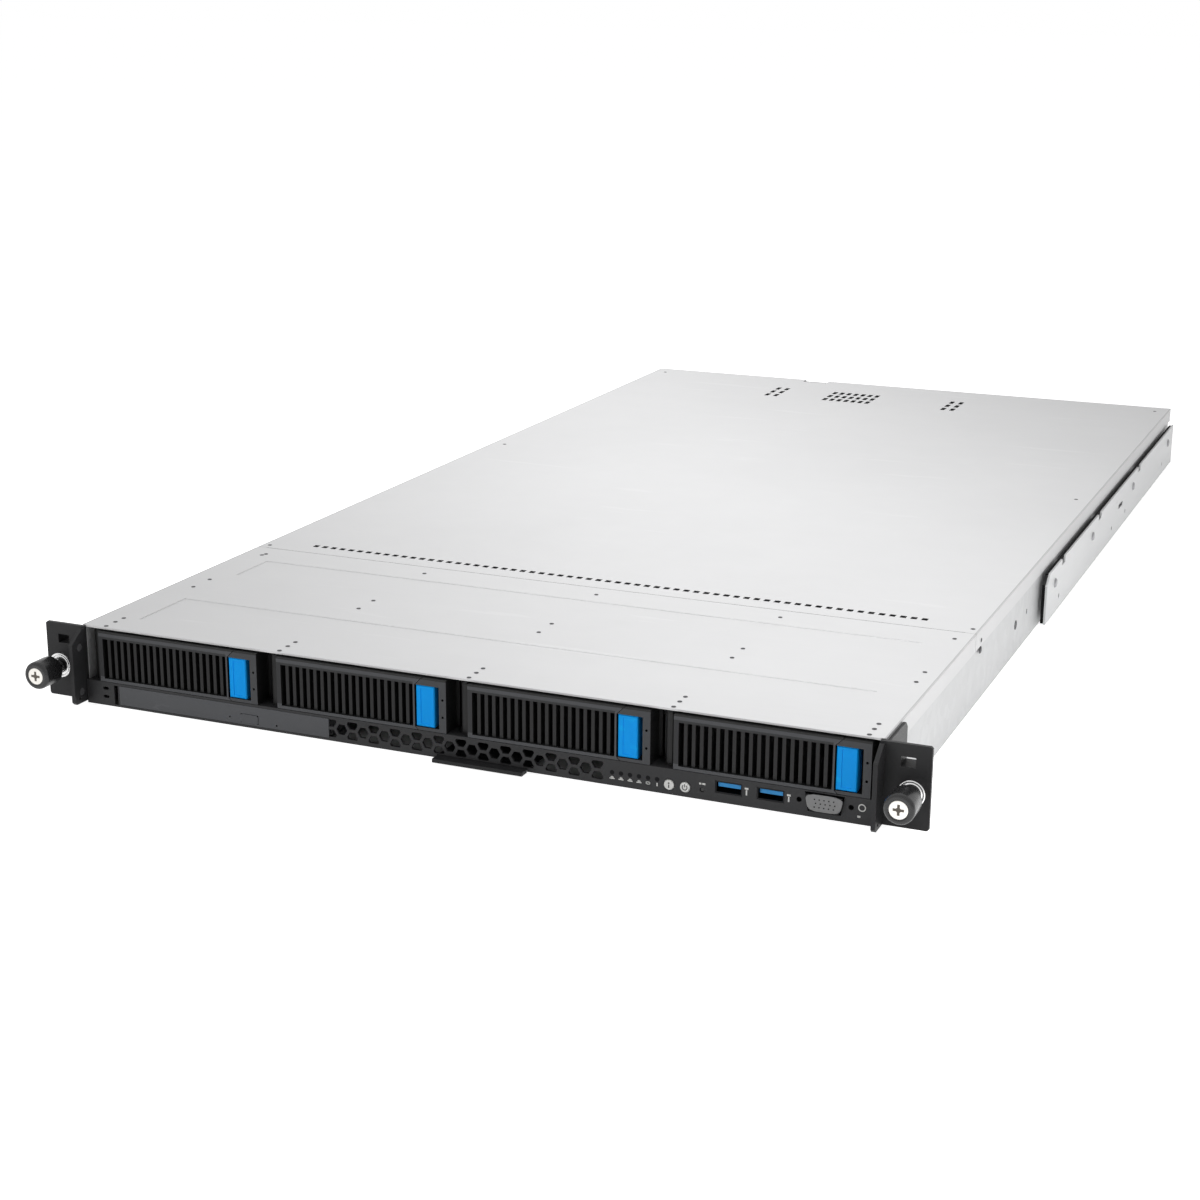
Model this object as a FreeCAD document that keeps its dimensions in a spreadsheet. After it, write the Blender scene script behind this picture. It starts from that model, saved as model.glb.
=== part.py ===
"""A 1U rack server: a sheet-steel chassis with four hot-swap drive trays, fans, board and power supplies.

Frame: X to the right seen from the front, Y to the rear, Z up, millimetres.
Origin: on the centre line, in the plane of the rack ears' rear faces, on the underside of the chassis.
"""
import FreeCAD, Part
import Sketcher
import math
import os
import re

document = FreeCAD.newDocument("rack_server")

# name, value, what it is
SIZES = (
    ("body_depth", 842.6, "mounting plane to the rear edge of the rear cover"),
    ("cover_sheet", 1.0, "sheet of the two covers"),
    ("cover_gap", 0.2, "covers to the chassis walls"),
    ("flange_drop", 10.0, "height of the covers' side flanges"),
    ("front_lip", 0.5, "front cover ahead of the mounting plane"),
    ("seam_inset", 3.0, "seam between the two covers ahead of the backplane"),
    ("seam_gap", 0.4, "open gap in that seam"),
    ("pan_sheet", 1.2, "sheet of the chassis"),
    ("pan_front", 0.2, "front edge of the chassis walls"),
    ("post_radius", 2.6, "corners of the hexagonal posts pressed into the chassis"),
    ("stud_radius", 2.4, "radius of the studs that carry the side rails"),
    ("face_reach", 3.0, "front faces ahead of the mounting plane"),
    ("strip_low", 0.6, "lower edge of the front panel"),
    ("strip_high", 13.6, "upper edge of the front panel"),
    ("panel_sheet", 1.5, "thickness of the front panel"),
    ("panel_shelf", 17.5, "depth of the front panel's upper flange"),
    ("strip_gap", 0.3, "front panel to the tray faces"),
    ("strip_rim", 0.8, "front panel above the optical drive's bezel"),
    ("cover_clear", 0.8, "tray faces below the front cover"),
    # drive bays
    ("bay_margin", 2.4, "left chassis wall to the first tray"),
    ("end_margin", 1.2, "last tray to the right chassis wall"),
    ("bay_gap", 1.1, "tray to the cage's divider"),
    ("face_space", 11.8, "a tray's bezel to the next tray's lever"),
    ("hinge_zone", 6.8, "tray beyond the left edge of its lever"),
    ("tray_sheet", 0.8, "tray's side walls"),
    ("tray_floor", 0.5, "tray's floor"),
    ("tray_wall", 20.0, "height of the tray's side walls"),
    ("tray_clear", 6.0, "rear end of the tray to the backplane"),
    ("tray_gap", 0.2, "tray to the shelf"),
    ("shelf_sheet", 0.8, "drive cage's shelf"),
    ("cage_sheet", 1.0, "drive cage's dividers"),
    ("cage_front", 9.4, "front edges of the dividers"),
    ("cage_flange", 12.0, "width of the dividers' upper flanges"),
    ("lever_depth", 11.0, "front to back of a lever"),
    ("latch_zone", 17.4, "lever's end to the right edge of the bezel"),
    ("lever_rim", 2.5, "left column of a lever's frame"),
    ("lower_rail", 1.6, "frame below the grille"),
    ("upper_rail", 3.8, "frame above the grille"),
    ("grille_pitch", 4.05, "one grille slot to the next"),
    ("grille_slot", 2.25, "width of a grille slot"),
    ("grille_sink", 1.2, "bars behind the lever's face"),
    ("hinge_reach", 3.3, "lever's pivot to the left of its edge"),
    ("hinge_y", 3.2, "lever's pivot behind the mounting plane"),
    ("hinge_pin", 1.0, "radius of the pivot pin"),
    ("hinge_play", 0.06, "radial play of the pivot"),
    ("knuckle_radius", 2.6, "radius of the lever's knuckle"),
    ("lug_sheet", 0.7, "thickness of the pivot's lugs"),
    ("lug_gap", 0.2, "knuckle to the lugs"),
    ("face_gap", 0.4, "lever to the bezel beside it"),
    ("bezel_column", 3.9, "width of the bezel's right column"),
    ("latch_width", 10.1, "width of a latch"),
    ("latch_gap", 0.2, "latch to the bezel's rails"),
    ("latch_depth", 7.6, "front to back of a latch"),
    ("latch_sink", 0.3, "latch behind the lever's face"),
    ("drive_width", 101.6, "hard drive's width"),
    ("drive_height", 25.4, "hard drive's height"),
    ("drive_length", 147.0, "hard drive's length"),
    ("drive_front", 16.0, "front of the hard drive"),
    ("drive_gap", 0.9, "hard drive to its tray's walls"),
    ("drive_headroom", 1.5, "hard drive to the cover above it"),
    ("drive_space", 15.0, "hard drive to the backplane"),
    ("board_sheet", 1.6, "thickness of the circuit boards"),
    # optical drive
    ("optical_margin", 20.6, "left chassis wall to the optical drive's bezel"),
    ("optical_width", 126.4, "width of that bezel"),
    ("optical_low", 2.0, "lower edge of that bezel"),
    ("optical_length", 127.0, "rear end of the optical drive"),
    ("optical_wall", 0.6, "sheet of its case"),
    ("bezel_sheet", 2.6, "thickness of its bezel"),
    ("eject_offset", 74.4, "left edge of the eject button's opening from the bezel's left edge"),
    ("eject_width", 10.6, "width of that opening"),
    ("eject_low", 2.9, "lower edge of that opening"),
    ("eject_height", 5.0, "height of that opening"),
    ("disc_y", 62.0, "centre of the disc recess behind the mounting plane"),
    ("disc_margin", 2.8, "disc recess to the sides of the bezel"),
    ("bezel_gap", 0.2, "buttons and bezels in their openings"),
    # buttons and ports
    ("button_z", 5.5, "height of the round buttons"),
    ("button_radius", 2.5, "radius of the round buttons"),
    ("button_gap", 0.3, "round buttons in their holes"),
    ("button_proud", 0.5, "buttons ahead of the panel"),
    ("locate_inset", 101.3, "right chassis wall to the identification button"),
    ("power_inset", 93.2, "right chassis wall to the power button"),
    ("reset_inset", 84.6, "right chassis wall to the reset button"),
    ("reset_radius", 0.9, "radius of the reset plunger"),
    ("lamp_inset", 130.6, "right chassis wall to the first indicator"),
    ("lamp_pitch", 4.64, "one indicator to the next"),
    ("lamp_z", 7.3, "height of the indicators"),
    ("lamp_radius", 0.8, "radius of the indicators"),
    ("switch_y", 2.2, "front of the control board"),
    ("usb_inset", 71.4, "right chassis wall to the centre of the first USB port"),
    ("usb_pitch", 20.7, "one USB port to the next"),
    ("usb_width", 13.1, "outer width of a USB shell"),
    ("usb_height", 5.8, "outer height of a USB shell"),
    ("port_z", 8.3, "centre height of the ports"),
    ("display_inset", 24.3, "right chassis wall to the centre of the display port"),
    ("screw_span", 25.0, "between the display port's screws"),
    # hexagonal vent
    ("vent_gap", 7.6, "optical drive's bezel to the first column of the vent"),
    ("vent_pitch", 6.1, "column to column"),
    ("vent_hole", 5.5, "hexagon across its flats"),
    ("vent_low", 2.7, "lower edge of the vent"),
    ("vent_rim", 0.7, "front panel above the vent"),
    # pull-out tag
    ("tag_x", 16.5, "centre of the pull-out tag"),
    ("tag_width", 49.0, "width of the tag"),
    ("tag_sheet", 0.8, "thickness of the tag"),
    ("tag_length", 60.0, "rear end of the tag"),
    ("tag_reach", 9.0, "front of the tag's lip"),
    # rack ears
    ("ear_reach", 22.3, "rack ear beyond the cover's side"),
    ("ear_gap", 0.2, "rack ear's strap off the cover's side"),
    ("ear_sheet", 2.0, "thickness of the ears"),
    ("ear_low", 2.0, "lower edge of the ears"),
    ("ear_clear", 0.4, "upper edge of the ears below the covers' top"),
    ("fin_sheet", 2.2, "thickness of a fin"),
    ("fin_reach", 13.0, "front of a fin"),
    ("strap_sheet", 1.5, "ear's strap along the side"),
    ("strap_length", 32.0, "length of that strap"),
    ("strap_corner", 3.0, "bevel of that strap's rear corners"),
    ("screw_reach", 13.56, "rack screw beyond the cover's side"),
    ("screw_z", 19.5, "height of the rack screws"),
    ("socket_reach", 11.3, "square locating socket beyond the cover's side"),
    ("socket_z", 34.0, "height of the locating sockets"),
    ("socket_width", 7.0, "width inside a locating socket"),
    ("socket_height", 4.8, "height inside a locating socket"),
    ("socket_depth", 9.0, "locating socket behind the ear"),
    ("thread_radius", 2.5, "radius of the rack screw's thread"),
    ("shank_radius", 3.2, "radius of the rack screw's shank"),
    ("neck_radius", 2.3, "radius of the neck between shank and thread"),
    ("neck_end", 0.3, "start of the thread behind the ear's plane"),
    ("collar_play", 0.1, "shank in its collar"),
    ("collar_radius", 6.5, "radius of the collar's rim"),
    ("collar_rim", 1.6, "thickness of that rim"),
    ("collar_fit", 4.9, "radius of the ear's hole for the collar"),
    ("retainer_radius", 3.8, "radius of the ring that keeps a rack screw captive"),
    ("retainer_play", 0.06, "radial play of that ring on the neck"),
    ("retainer_seat", 1.2, "depth of that ring's seat in the back of the collar"),
    ("knob_radius", 7.3, "radius of the knob"),
    ("knob_front", 24.8, "front of the knob"),
    ("knob_back", 9.0, "rear of the knob"),
    ("thread_end", 9.0, "end of the rack screw behind the ear"),
    # side rails
    ("rail_front", 345.0, "front end of a side rail"),
    ("rail_margin", 4.6, "rear end of a side rail to the cover's rear edge"),
    ("rail_sheet", 1.2, "thickness of a side rail"),
    ("rail_gap", 3.8, "side rail off the chassis wall"),
    ("rail_low", 1.0, "lower edge of a side rail"),
    ("rail_high", 31.0, "upper edge of a side rail"),
    ("side_hole_y", 297.0, "centre of the side holes"),
    ("side_hole_span", 30.0, "between the side holes"),
    ("side_hole_z", 18.0, "height of the side holes"),
    ("side_hole_radius", 1.7, "radius of the side holes"),
    # cover details
    ("slot_pitch", 5.95, "one cover slot to the next"),
    ("slot_margin", 26.0, "cover's side to the first slot"),
    ("slot_width", 3.4, "a cover slot across the server"),
    ("slot_length", 4.0, "a cover slot along the server"),
    ("slot_inset", 15.2, "first row of cover slots behind the seam"),
    ("slot_row", 5.0, "between the rows of cover slots"),
    ("rear_slot_length", 9.4, "a rear slot along the server"),
    ("rear_slot_inset", 81.6, "front ends of the first row of rear slots to the cover's rear edge"),
    ("rear_slot_row", 14.2, "between the rows of rear slots"),
    ("rear_slot_rows", 4, "rows of rear slots"),
    ("wide_pitch", 7.4, "between the columns of the two narrow rear vents"),
    ("emboss_margin", 22.0, "cover's side to the pressed panels"),
    ("front_emboss", 20.0, "front edge of the front pressed panel"),
    ("front_emboss_width", 43.0, "front to back of the front pressed panel"),
    ("rear_emboss", 116.0, "front edge of the rear pressed panel"),
    ("rear_emboss_width", 33.0, "front to back of the rear pressed panel"),
    ("emboss_depth", 0.4, "depth of the pressed panels"),
    ("rivet_radius", 1.2, "radius of a rivet head"),
    ("rivet_head", 0.2, "height of a rivet head"),
    ("rivet_shift", 0.7, "columns of rivets closer together than the bays"),
    # cooling, board and supplies
    ("fan_depth", 28.0, "fan frame's depth"),
    ("fan_space", 44.0, "backplane to the fans"),
    ("fan_plate", 0.6, "plate under the fans"),
    ("fan_margin", 6.6, "chassis wall to the fans' plate"),
    ("duct_wall", 1.2, "thinnest wall of a fan's duct"),
    ("fan_hub", 9.0, "radius of a rotor's hub"),
    ("tip_gap", 1.2, "rotor's blades to the duct"),
    ("fan_shaft", 1.5, "radius of a rotor's shaft"),
    ("shaft_play", 0.05, "radial play of that shaft"),
    ("main_z", 6.2, "underside of the main board"),
    ("main_space", 80.0, "fans to the main board"),
    ("main_margin", 16.6, "rear edge of the main board to the cover's rear edge"),
    ("sink_space", 109.0, "width kept free of memory on each side's half of the board"),
    ("module_pitch", 7.6, "one memory module to the next"),
    ("module_length", 133.0, "length of a memory module"),
    ("module_height", 30.0, "height of a memory module"),
    ("sink_side", 78.0, "width of a heat sink"),
    ("sink_fins", 16, "fins of a heat sink"),
    ("fin_thickness", 0.6, "thickness of those fins"),
    ("supply_width", 73.5, "power supply's width"),
    ("supply_clear", 1.2, "power supply to the sheets below and above it"),
    ("supply_length", 185.0, "power supply's length"),
    ("supply_wall", 1.0, "sheet of a power supply's case"),
    ("supply_gap", 0.5, "power supply in its bay"),
    ("rear_sheet", 1.2, "thickness of the rear panel"),
)
NAMES = {name for name, value, note in SIZES}

# what follows from the sizes: the drives set the bays, and the bays set the width and height of the body
RESULTS = {
    "tray_width": "drive_width + 2 * drive_gap + 2 * tray_sheet",
    "bay_pitch": "tray_width + cage_sheet + 2 * bay_gap",
    "inside_half": "(bay_margin + 3 * bay_pitch + tray_width + end_margin) / 2",
    "body_half": "inside_half + pan_sheet + cover_gap + cover_sheet",
    "tray_low": "strip_high + shelf_sheet + tray_gap",
    "body_height": "tray_low + tray_floor + drive_height + drive_headroom + cover_sheet",
    "bay_first": "bay_margin + hinge_zone - inside_half",
    "face_width": "bay_pitch - face_space",
    "face_low": "strip_high + strip_gap",
    "face_high": "body_height - cover_sheet - cover_clear",
    "lever_end": "face_width - latch_zone",
    "grille_low": "face_low + lower_rail",
    "grille_high": "face_high - upper_rail",
    "grille_count": "floor((lever_end - 1 - lever_rim - grille_slot) / grille_pitch) + 1",
    "backplane_y": "drive_front + drive_length + drive_space",
    "tray_back": "backplane_y - tray_clear",
    "seam_y": "backplane_y - seam_inset",
    "optical_left": "optical_margin - inside_half",
    "optical_high": "strip_high - strip_rim",
    "eject_left": "optical_left + eject_offset",
    "disc_radius": "optical_width / 2 - disc_margin",
    "lamp_first": "inside_half - lamp_inset",
    "locate_x": "inside_half - locate_inset",
    "power_x": "inside_half - power_inset",
    "reset_x": "inside_half - reset_inset",
    "usb_first": "inside_half - usb_inset",
    "display_x": "inside_half - display_inset",
    "vent_left": "optical_left + optical_width + vent_gap",
    "vent_high": "strip_high - vent_rim",
    "vent_columns": "floor((lamp_first - vent_left) / (2 * vent_pitch))",
    "ear_end": "body_half + ear_reach",
    "ear_high": "body_height - ear_clear",
    "fin_outer": "body_half + ear_gap",
    "fin_inner": "fin_outer - fin_sheet",
    "screw_x": "body_half + screw_reach",
    "socket_x": "body_half + socket_reach",
    "rail_back": "body_depth - rail_margin",
    "slot_count": "floor((2 * body_half - 2 * slot_margin) / slot_pitch)",
    "slot_y": "seam_y + slot_inset",
    "rear_slot_y": "body_depth - rear_slot_inset",
    "emboss_half": "body_half - emboss_margin",
    "fan_size": "body_height - cover_sheet - cover_gap - pan_sheet - fan_plate",
    "fan_y": "backplane_y + fan_space",
    "fan_pitch": "(inside_half - fan_margin) / 3",
    "fan_duct": "fan_size / 2 - duct_wall",
    "fan_tip": "fan_duct - tip_gap",
    "main_front": "fan_y + fan_depth + main_space",
    "main_back": "body_depth - main_margin",
    "bank_count": "floor((inside_half - sink_space) / 2 / module_pitch) + 1",
    "bank_width": "(bank_count - 1) * module_pitch",
    "supply_height": "body_height - cover_sheet - cover_gap - pan_sheet - supply_clear",
    "rear_x": "inside_half - 2 * supply_width - 2 * supply_gap - 68.6",
}

sheet = document.addObject("Spreadsheet::Sheet", "sizes")
for row, (name, value, note) in enumerate(SIZES, start=1):
    sheet.set(f"A{row}", note)
    sheet.set(f"B{row}", str(value))
    sheet.setAlias(f"B{row}", name)
document.recompute()


# ---------------------------------------------------------------- shared working planes, as formulas
PAN_OUT = "(inside_half + pan_sheet)"
PAN_IN = "inside_half"
PAN_TOP = "(body_height - cover_sheet - cover_gap)"
COVER_IN = "(body_half - cover_sheet)"
COVER_UNDER = "(body_height - cover_sheet)"
PANEL_BACK = "(panel_sheet - face_reach)"
TRAY_FRONT = "(lever_depth - face_reach + 0.6)"
TRAY_RIGHT = "(tray_width - hinge_zone)"
SUPPLY_PITCH = "(supply_width + supply_gap + 0.5)"
SUPPLY_LEFT = f"({PAN_IN} - 2 * {SUPPLY_PITCH})"
MAIN_TOP = "(main_z + board_sheet)"
CONTROL_HIGH = "(port_z - usb_height / 2 - 0.1)"
CONTROL_LOW = "(port_z - usb_height / 2 - board_sheet - 0.1)"
SUPPLY_FRONT = "(body_depth - supply_length + 0.4)"


def cell(found):
    """A word of an arithmetic text: a cell of the sheet, what follows from the sizes, or itself."""
    word = found.group(0)
    if word in RESULTS:
        return f"({formula(RESULTS[word])})"
    return "sizes." + word if word in NAMES else word


def formula(text):
    """Point every size named in an arithmetic text at its cell in the sheet."""
    return re.sub(r"[a-z][a-z_]*", cell, str(text))


def size(text):
    """The present value of an arithmetic text on the sheet's sizes."""
    return float(sheet.evalExpression(formula(text)))


def bind(thing, **settings):
    """Bind properties to formulas; a double underscore in a property's name stands for a dot."""
    for name, text in settings.items():
        thing.setExpression(name.replace("__", "."), formula(text))
    return thing


# ---------------------------------------------------------------- sketch shapes
SIDES = 8  # of the outlines that stand for small round ones
ROUND = 24  # and for the larger ones


def rect(left, low, right, high):
    """A rectangle, as its corners."""
    return [(left, low), (right, low), (right, high), (left, high)]


def ngon(x, y, radius, sides=SIDES):
    """A regular outline about a point, its corners at a radius from it."""
    turns = [2 * math.pi * step / sides for step in range(sides)]
    return [(f"{x} + ({radius}) * {math.cos(turn):.6f}", f"{y} + ({radius}) * {math.sin(turn):.6f}")
            for turn in turns]


def bore(x, y, radius, sides=2 * SIDES):
    """A regular outline about a point, its flats at a radius from it."""
    return ngon(x, y, f"({radius}) * {1 / math.cos(math.pi / sides):.6f}", sides)


def hexagon(x, z, up, down):
    """A hexagon with level flats at heights up and down from its centre, which may cut it short."""
    corner = "vent_hole / sqrt(3)"
    upper = f"({corner} - ({up}) / sqrt(3))"
    lower = f"({corner} - ({down}) / sqrt(3))"
    return [(f"{x} + {corner}", z), (f"{x} + {upper}", f"{z} + {up}"), (f"{x} - {upper}", f"{z} + {up}"),
            (f"{x} - {corner}", z), (f"{x} - {lower}", f"{z} - {down}"), (f"{x} + {lower}", f"{z} - {down}")]


def draw(sketch, shape):
    """Draw a closed outline, given as corner points, or a circle, given as (x, y, radius)."""
    start = sketch.GeometryCount
    if isinstance(shape, tuple):
        x, y, radius = shape
        centre = FreeCAD.Vector(size(x), size(y), 0)
        sketch.addGeometry(Part.Circle(centre, FreeCAD.Vector(0, 0, 1), size(radius)), False)
        rules = [Sketcher.Constraint("DistanceX", -1, 1, start, 3, size(x)),
                 Sketcher.Constraint("DistanceY", -1, 1, start, 3, size(y)),
                 Sketcher.Constraint("Radius", start, size(radius))]
        texts = [x, y, radius]
        joints = []
    else:
        corners = [FreeCAD.Vector(size(x), size(y), 0) for x, y in shape]
        count = len(corners)
        sides = [Part.LineSegment(corners[i], corners[(i + 1) % count]) for i in range(count)]
        sketch.addGeometry(sides, False)
        joints = [Sketcher.Constraint("Coincident", start + i, 2, start + (i + 1) % count, 1)
                  for i in range(count)]
        rules = []
        texts = []
        for i, corner in enumerate(corners):
            rules.append(Sketcher.Constraint("DistanceX", -1, 1, start + i, 1, corner.x))
            rules.append(Sketcher.Constraint("DistanceY", -1, 1, start + i, 1, corner.y))
            texts.extend(shape[i])
    sketch.addConstraint(joints)
    first = sketch.ConstraintCount
    sketch.addConstraint(rules)
    for offset, text in enumerate(texts):
        sketch.setExpression(f"Constraints[{first + offset}]", formula(text))


def origin_feature(body, role):
    """One of a body's own origin planes or axes."""
    return next(feature for feature in body.Origin.OriginFeatures if feature.Role == role)


def new_sketch(body, plane, level, shapes):
    """A sketch on a body's XY, XZ or YZ plane, at a level along the axis that crosses it."""
    sketch = body.newObject("Sketcher::SketchObject", "Sketch")
    sketch.AttachmentSupport = [(origin_feature(body, plane + "_Plane"), "")]
    sketch.MapMode = "FlatFace"
    turned = "-1 * " if plane == "XZ" else ""
    bind(sketch, AttachmentOffset__Base__z=f"{turned}({level})")
    for shape in shapes:
        draw(sketch, shape)
    return sketch


# ---------------------------------------------------------------- features
def new_body(label, x="0", y="0", z="0"):
    """An empty body whose own origin lies at x, y, z."""
    body = document.addObject("PartDesign::Body", label)
    body.Label = label
    return bind(body, Placement__Base__x=x, Placement__Base__y=y, Placement__Base__z=z)


def pad(body, plane, start, end, *shapes):
    """Add the shapes' area to the body from start to end along the axis that crosses the plane."""
    feature = body.newObject("PartDesign::Pad", "Pad")
    feature.Profile = new_sketch(body, plane, start, shapes)
    feature.Reversed = plane == "XZ"
    return bind(feature, Length=f"({end}) - ({start})")


def pocket(body, plane, start, end, *shapes):
    """Cut the shapes' area out of the body from start to end along the axis that crosses the plane."""
    feature = body.newObject("PartDesign::Pocket", "Pocket")
    feature.Profile = new_sketch(body, plane, start, shapes)
    feature.Reversed = plane != "XZ"
    return bind(feature, Length=f"({end}) - ({start})")


def repeat(body, features, axis, count, pitch, second_axis=None, second_count="1", second_pitch="1"):
    """Repeat features of a body along one of its axes, and along a second one."""
    pattern = body.newObject("PartDesign::LinearPattern", "LinearPattern")
    pattern.Originals = features
    pattern.Direction = (origin_feature(body, axis + "_Axis"), [""])
    pattern.Mode = "Spacing"
    bind(pattern, Offset=pitch, Occurrences=count)
    if second_axis:
        pattern.Direction2 = (origin_feature(body, second_axis + "_Axis"), [""])
        pattern.Mode2 = "Spacing"
        bind(pattern, Offset2=second_pitch, Occurrences2=second_count)
    body.Tip = pattern
    return pattern


def around(body, features, axis, count):
    """Repeat features of a body evenly about one of its axes."""
    pattern = body.newObject("PartDesign::PolarPattern", "PolarPattern")
    pattern.Originals = features
    pattern.Axis = (origin_feature(body, axis + "_Axis"), [""])
    pattern.Angle = 360
    pattern.Occurrences = count
    body.Tip = pattern
    return pattern


def both_sides(body, features):
    """Mirror features of a body across its YZ plane."""
    mirror = body.newObject("PartDesign::Mirrored", "Mirrored")
    mirror.Originals = features
    mirror.MirrorPlane = (origin_feature(body, "YZ_Plane"), [""])
    body.Tip = mirror
    return mirror


def edges_where(feature, wanted):
    """The names of a feature's edges whose middle point passes a test."""
    document.recompute()
    names = []
    for number, edge in enumerate(feature.Shape.Edges, start=1):
        middle = edge.valueAt((edge.FirstParameter + edge.LastParameter) / 2)
        if wanted(edge, middle):
            names.append(f"Edge{number}")
    return names


def chamfer(body, feature, width, wanted):
    """Bevel the edges of a body's last feature that pass a test."""
    bevelled = body.newObject("PartDesign::Chamfer", "Chamfer")
    bevelled.Base = (feature, edges_where(feature, wanted))
    body.Tip = bevelled
    return bind(bevelled, Size=width)


def along(edge, axis):
    """Whether a straight edge runs along X, Y or Z."""
    if not isinstance(edge.Curve, Part.Line):
        return False
    return abs(getattr(edge.Curve.Direction, axis)) > 0.999


def box(x0, y0, z0, x1, y1, z1):
    """A block between two corners given as formulas."""
    block = document.addObject("Part::Box", "Block")
    return bind(block, Length=f"({x1}) - ({x0})", Width=f"({y1}) - ({y0})", Height=f"({z1}) - ({z0})",
                Placement__Base__x=x0, Placement__Base__y=y0, Placement__Base__z=z0)


def rod(axis, x, y, z, radius, length):
    """A small round bar, as a prism, that starts at a point and runs along X, Y or Z."""
    turns = {"X": (FreeCAD.Vector(0, 1, 0), 90),
             "Y": (FreeCAD.Vector(1, 0, 0), -90),
             "Z": (FreeCAD.Vector(0, 0, 1), 0)}
    bar = document.addObject("Part::Prism", "Rod")
    bar.Polygon = SIDES
    bar.Placement = FreeCAD.Placement(FreeCAD.Vector(), FreeCAD.Rotation(*turns[axis]))
    return bind(bar, Circumradius=radius, Height=length,
                Placement__Base__x=x, Placement__Base__y=y, Placement__Base__z=z)


def join(label, pieces):
    """One solid made of several pieces."""
    fused = document.addObject("Part::MultiFuse", label)
    fused.Label = label
    fused.Shapes = pieces
    return fused


def group(label, pieces):
    """Several separate solids kept as one sub-part."""
    compound = document.addObject("Part::Compound", label)
    compound.Label = label
    compound.Links = pieces
    return compound


def mirrored(label, source):
    """The left-hand twin of a right-hand piece."""
    twin = document.addObject("Part::Mirroring", label)
    twin.Label = label
    twin.Source = source
    twin.Normal = FreeCAD.Vector(1, 0, 0)
    return twin


# ---------------------------------------------------------------- chassis
def build_chassis_base():
    """The pan: floor and side walls from one sheet, with pressed rest pads, posts and rail studs."""
    body = new_body("chassis_base")
    pad(body, "XZ", "pan_front", "body_depth", [
        (f"-{PAN_OUT}", "0"), (PAN_OUT, "0"), (PAN_OUT, PAN_TOP), (PAN_IN, PAN_TOP),
        (PAN_IN, "pan_sheet"), (f"-{PAN_IN}", "pan_sheet"), (f"-{PAN_IN}", PAN_TOP), (f"-{PAN_OUT}", PAN_TOP)])
    pad(body, "XY", "0", "pan_sheet", rect(f"-{PAN_IN}", f"{PANEL_BACK} + 0.1", PAN_IN, "pan_front + 1"))
    rests = [rect(left, "10", f"{left} + 12", "optical_length - 10")
             for left in ("optical_left + 8", "optical_left + optical_width - 20")]
    pad(body, "XY", "pan_sheet", "optical_low + 0.2", *rests)
    posts = [ngon(x, y, "post_radius", 6) for x in ("lamp_first - 2", "inside_half - 8.6") for y in ("8", "36")]
    pad(body, "XY", "pan_sheet", CONTROL_LOW, *posts)
    edge = "(inside_half - 16.6)"
    places = [(x, y) for x in (f"-{edge}", "0", edge) for y in ("main_front + 8", "main_back - 196")]
    places += [(x, "main_back - 8") for x in (f"-{edge}", "rear_x + 40")]
    pad(body, "XY", "pan_sheet", "main_z", *[ngon(x, y, "post_radius", 6) for x, y in places])
    side_studs = [ngon(f"rail_front + {share} * (rail_back - rail_front)", "rail_high - 10", "stud_radius")
                  for share in (0.05, 0.3, 0.62, 0.95)]
    stud_pad = pad(body, "YZ", PAN_OUT, f"{PAN_OUT} + rail_gap", *side_studs)
    side_holes = [(f"side_hole_y + {half} * side_hole_span", "side_hole_z", "side_hole_radius")
                  for half in (-0.5, 0.5)]
    hole_cut = pocket(body, "YZ", f"{PAN_IN} - 1", f"{PAN_OUT} + 1", *side_holes)
    both_sides(body, [stud_pad, hole_cut])
    return body


def build_drive_cage():
    """Shelf, side legs and dividers that carry the drive trays."""
    body = new_body("drive_cage")
    shelf_top = "(strip_high + shelf_sheet)"
    leg_in = f"({PAN_IN} - shelf_sheet)"
    back = "backplane_y"
    pad(body, "XZ", "panel_shelf - face_reach - 0.5", back,
        rect(f"-{PAN_IN}", "strip_high", PAN_IN, shelf_top))
    flange = f"({COVER_UNDER} - shelf_sheet)"
    leg = pad(body, "XZ", "cage_front", back, [
        (leg_in, "pan_sheet"), (PAN_IN, "pan_sheet"), (PAN_IN, COVER_UNDER),
        (f"{leg_in} - cage_flange", COVER_UNDER), (f"{leg_in} - cage_flange", flange), (leg_in, flange)])
    left = "(bay_first + bay_pitch - hinge_zone - bay_gap - cage_sheet)"
    divider = pad(body, "XZ", "cage_front", back, [
        (left, shelf_top), (f"{left} + cage_sheet", shelf_top), (f"{left} + cage_sheet", flange),
        (f"{left} + cage_flange", flange), (f"{left} + cage_flange", COVER_UNDER), (left, COVER_UNDER)])
    repeat(body, [divider], "X", "3", "bay_pitch")
    both_sides(body, [leg])
    return body


def cover_section():
    """Section of a cover: a top with a flange down each side."""
    hem = "body_height - flange_drop"
    return [("-body_half", hem), (f"-{COVER_IN}", hem), (f"-{COVER_IN}", COVER_UNDER), (COVER_IN, COVER_UNDER),
            (COVER_IN, hem), ("body_half", hem), ("body_half", "body_height"), ("-body_half", "body_height")]


def build_front_cover():
    """Fixed cover over the drive bays, with two long pressed panels."""
    body = new_body("front_cover")
    pad(body, "XZ", "pan_front", "seam_y", cover_section())
    pad(body, "XY", COVER_UNDER, "body_height",
        rect("-(fin_inner - 0.3)", "-front_lip", "fin_inner - 0.3", "pan_front + 1"))
    for low in ("front_emboss", "rear_emboss"):
        pressed = pocket(body, "XY", "body_height - emboss_depth", "body_height + 1",
                         rect("-emboss_half", low, "emboss_half", f"{low} + {low}_width"))
    top = size("body_height")
    chamfer(body, pressed, "emboss_depth * 0.9", lambda edge, middle: along(edge, "x")
            and abs(middle.z - top) < 0.01 and size("front_emboss") - 1 < middle.y < size("seam_y") - 1)
    return body


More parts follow.
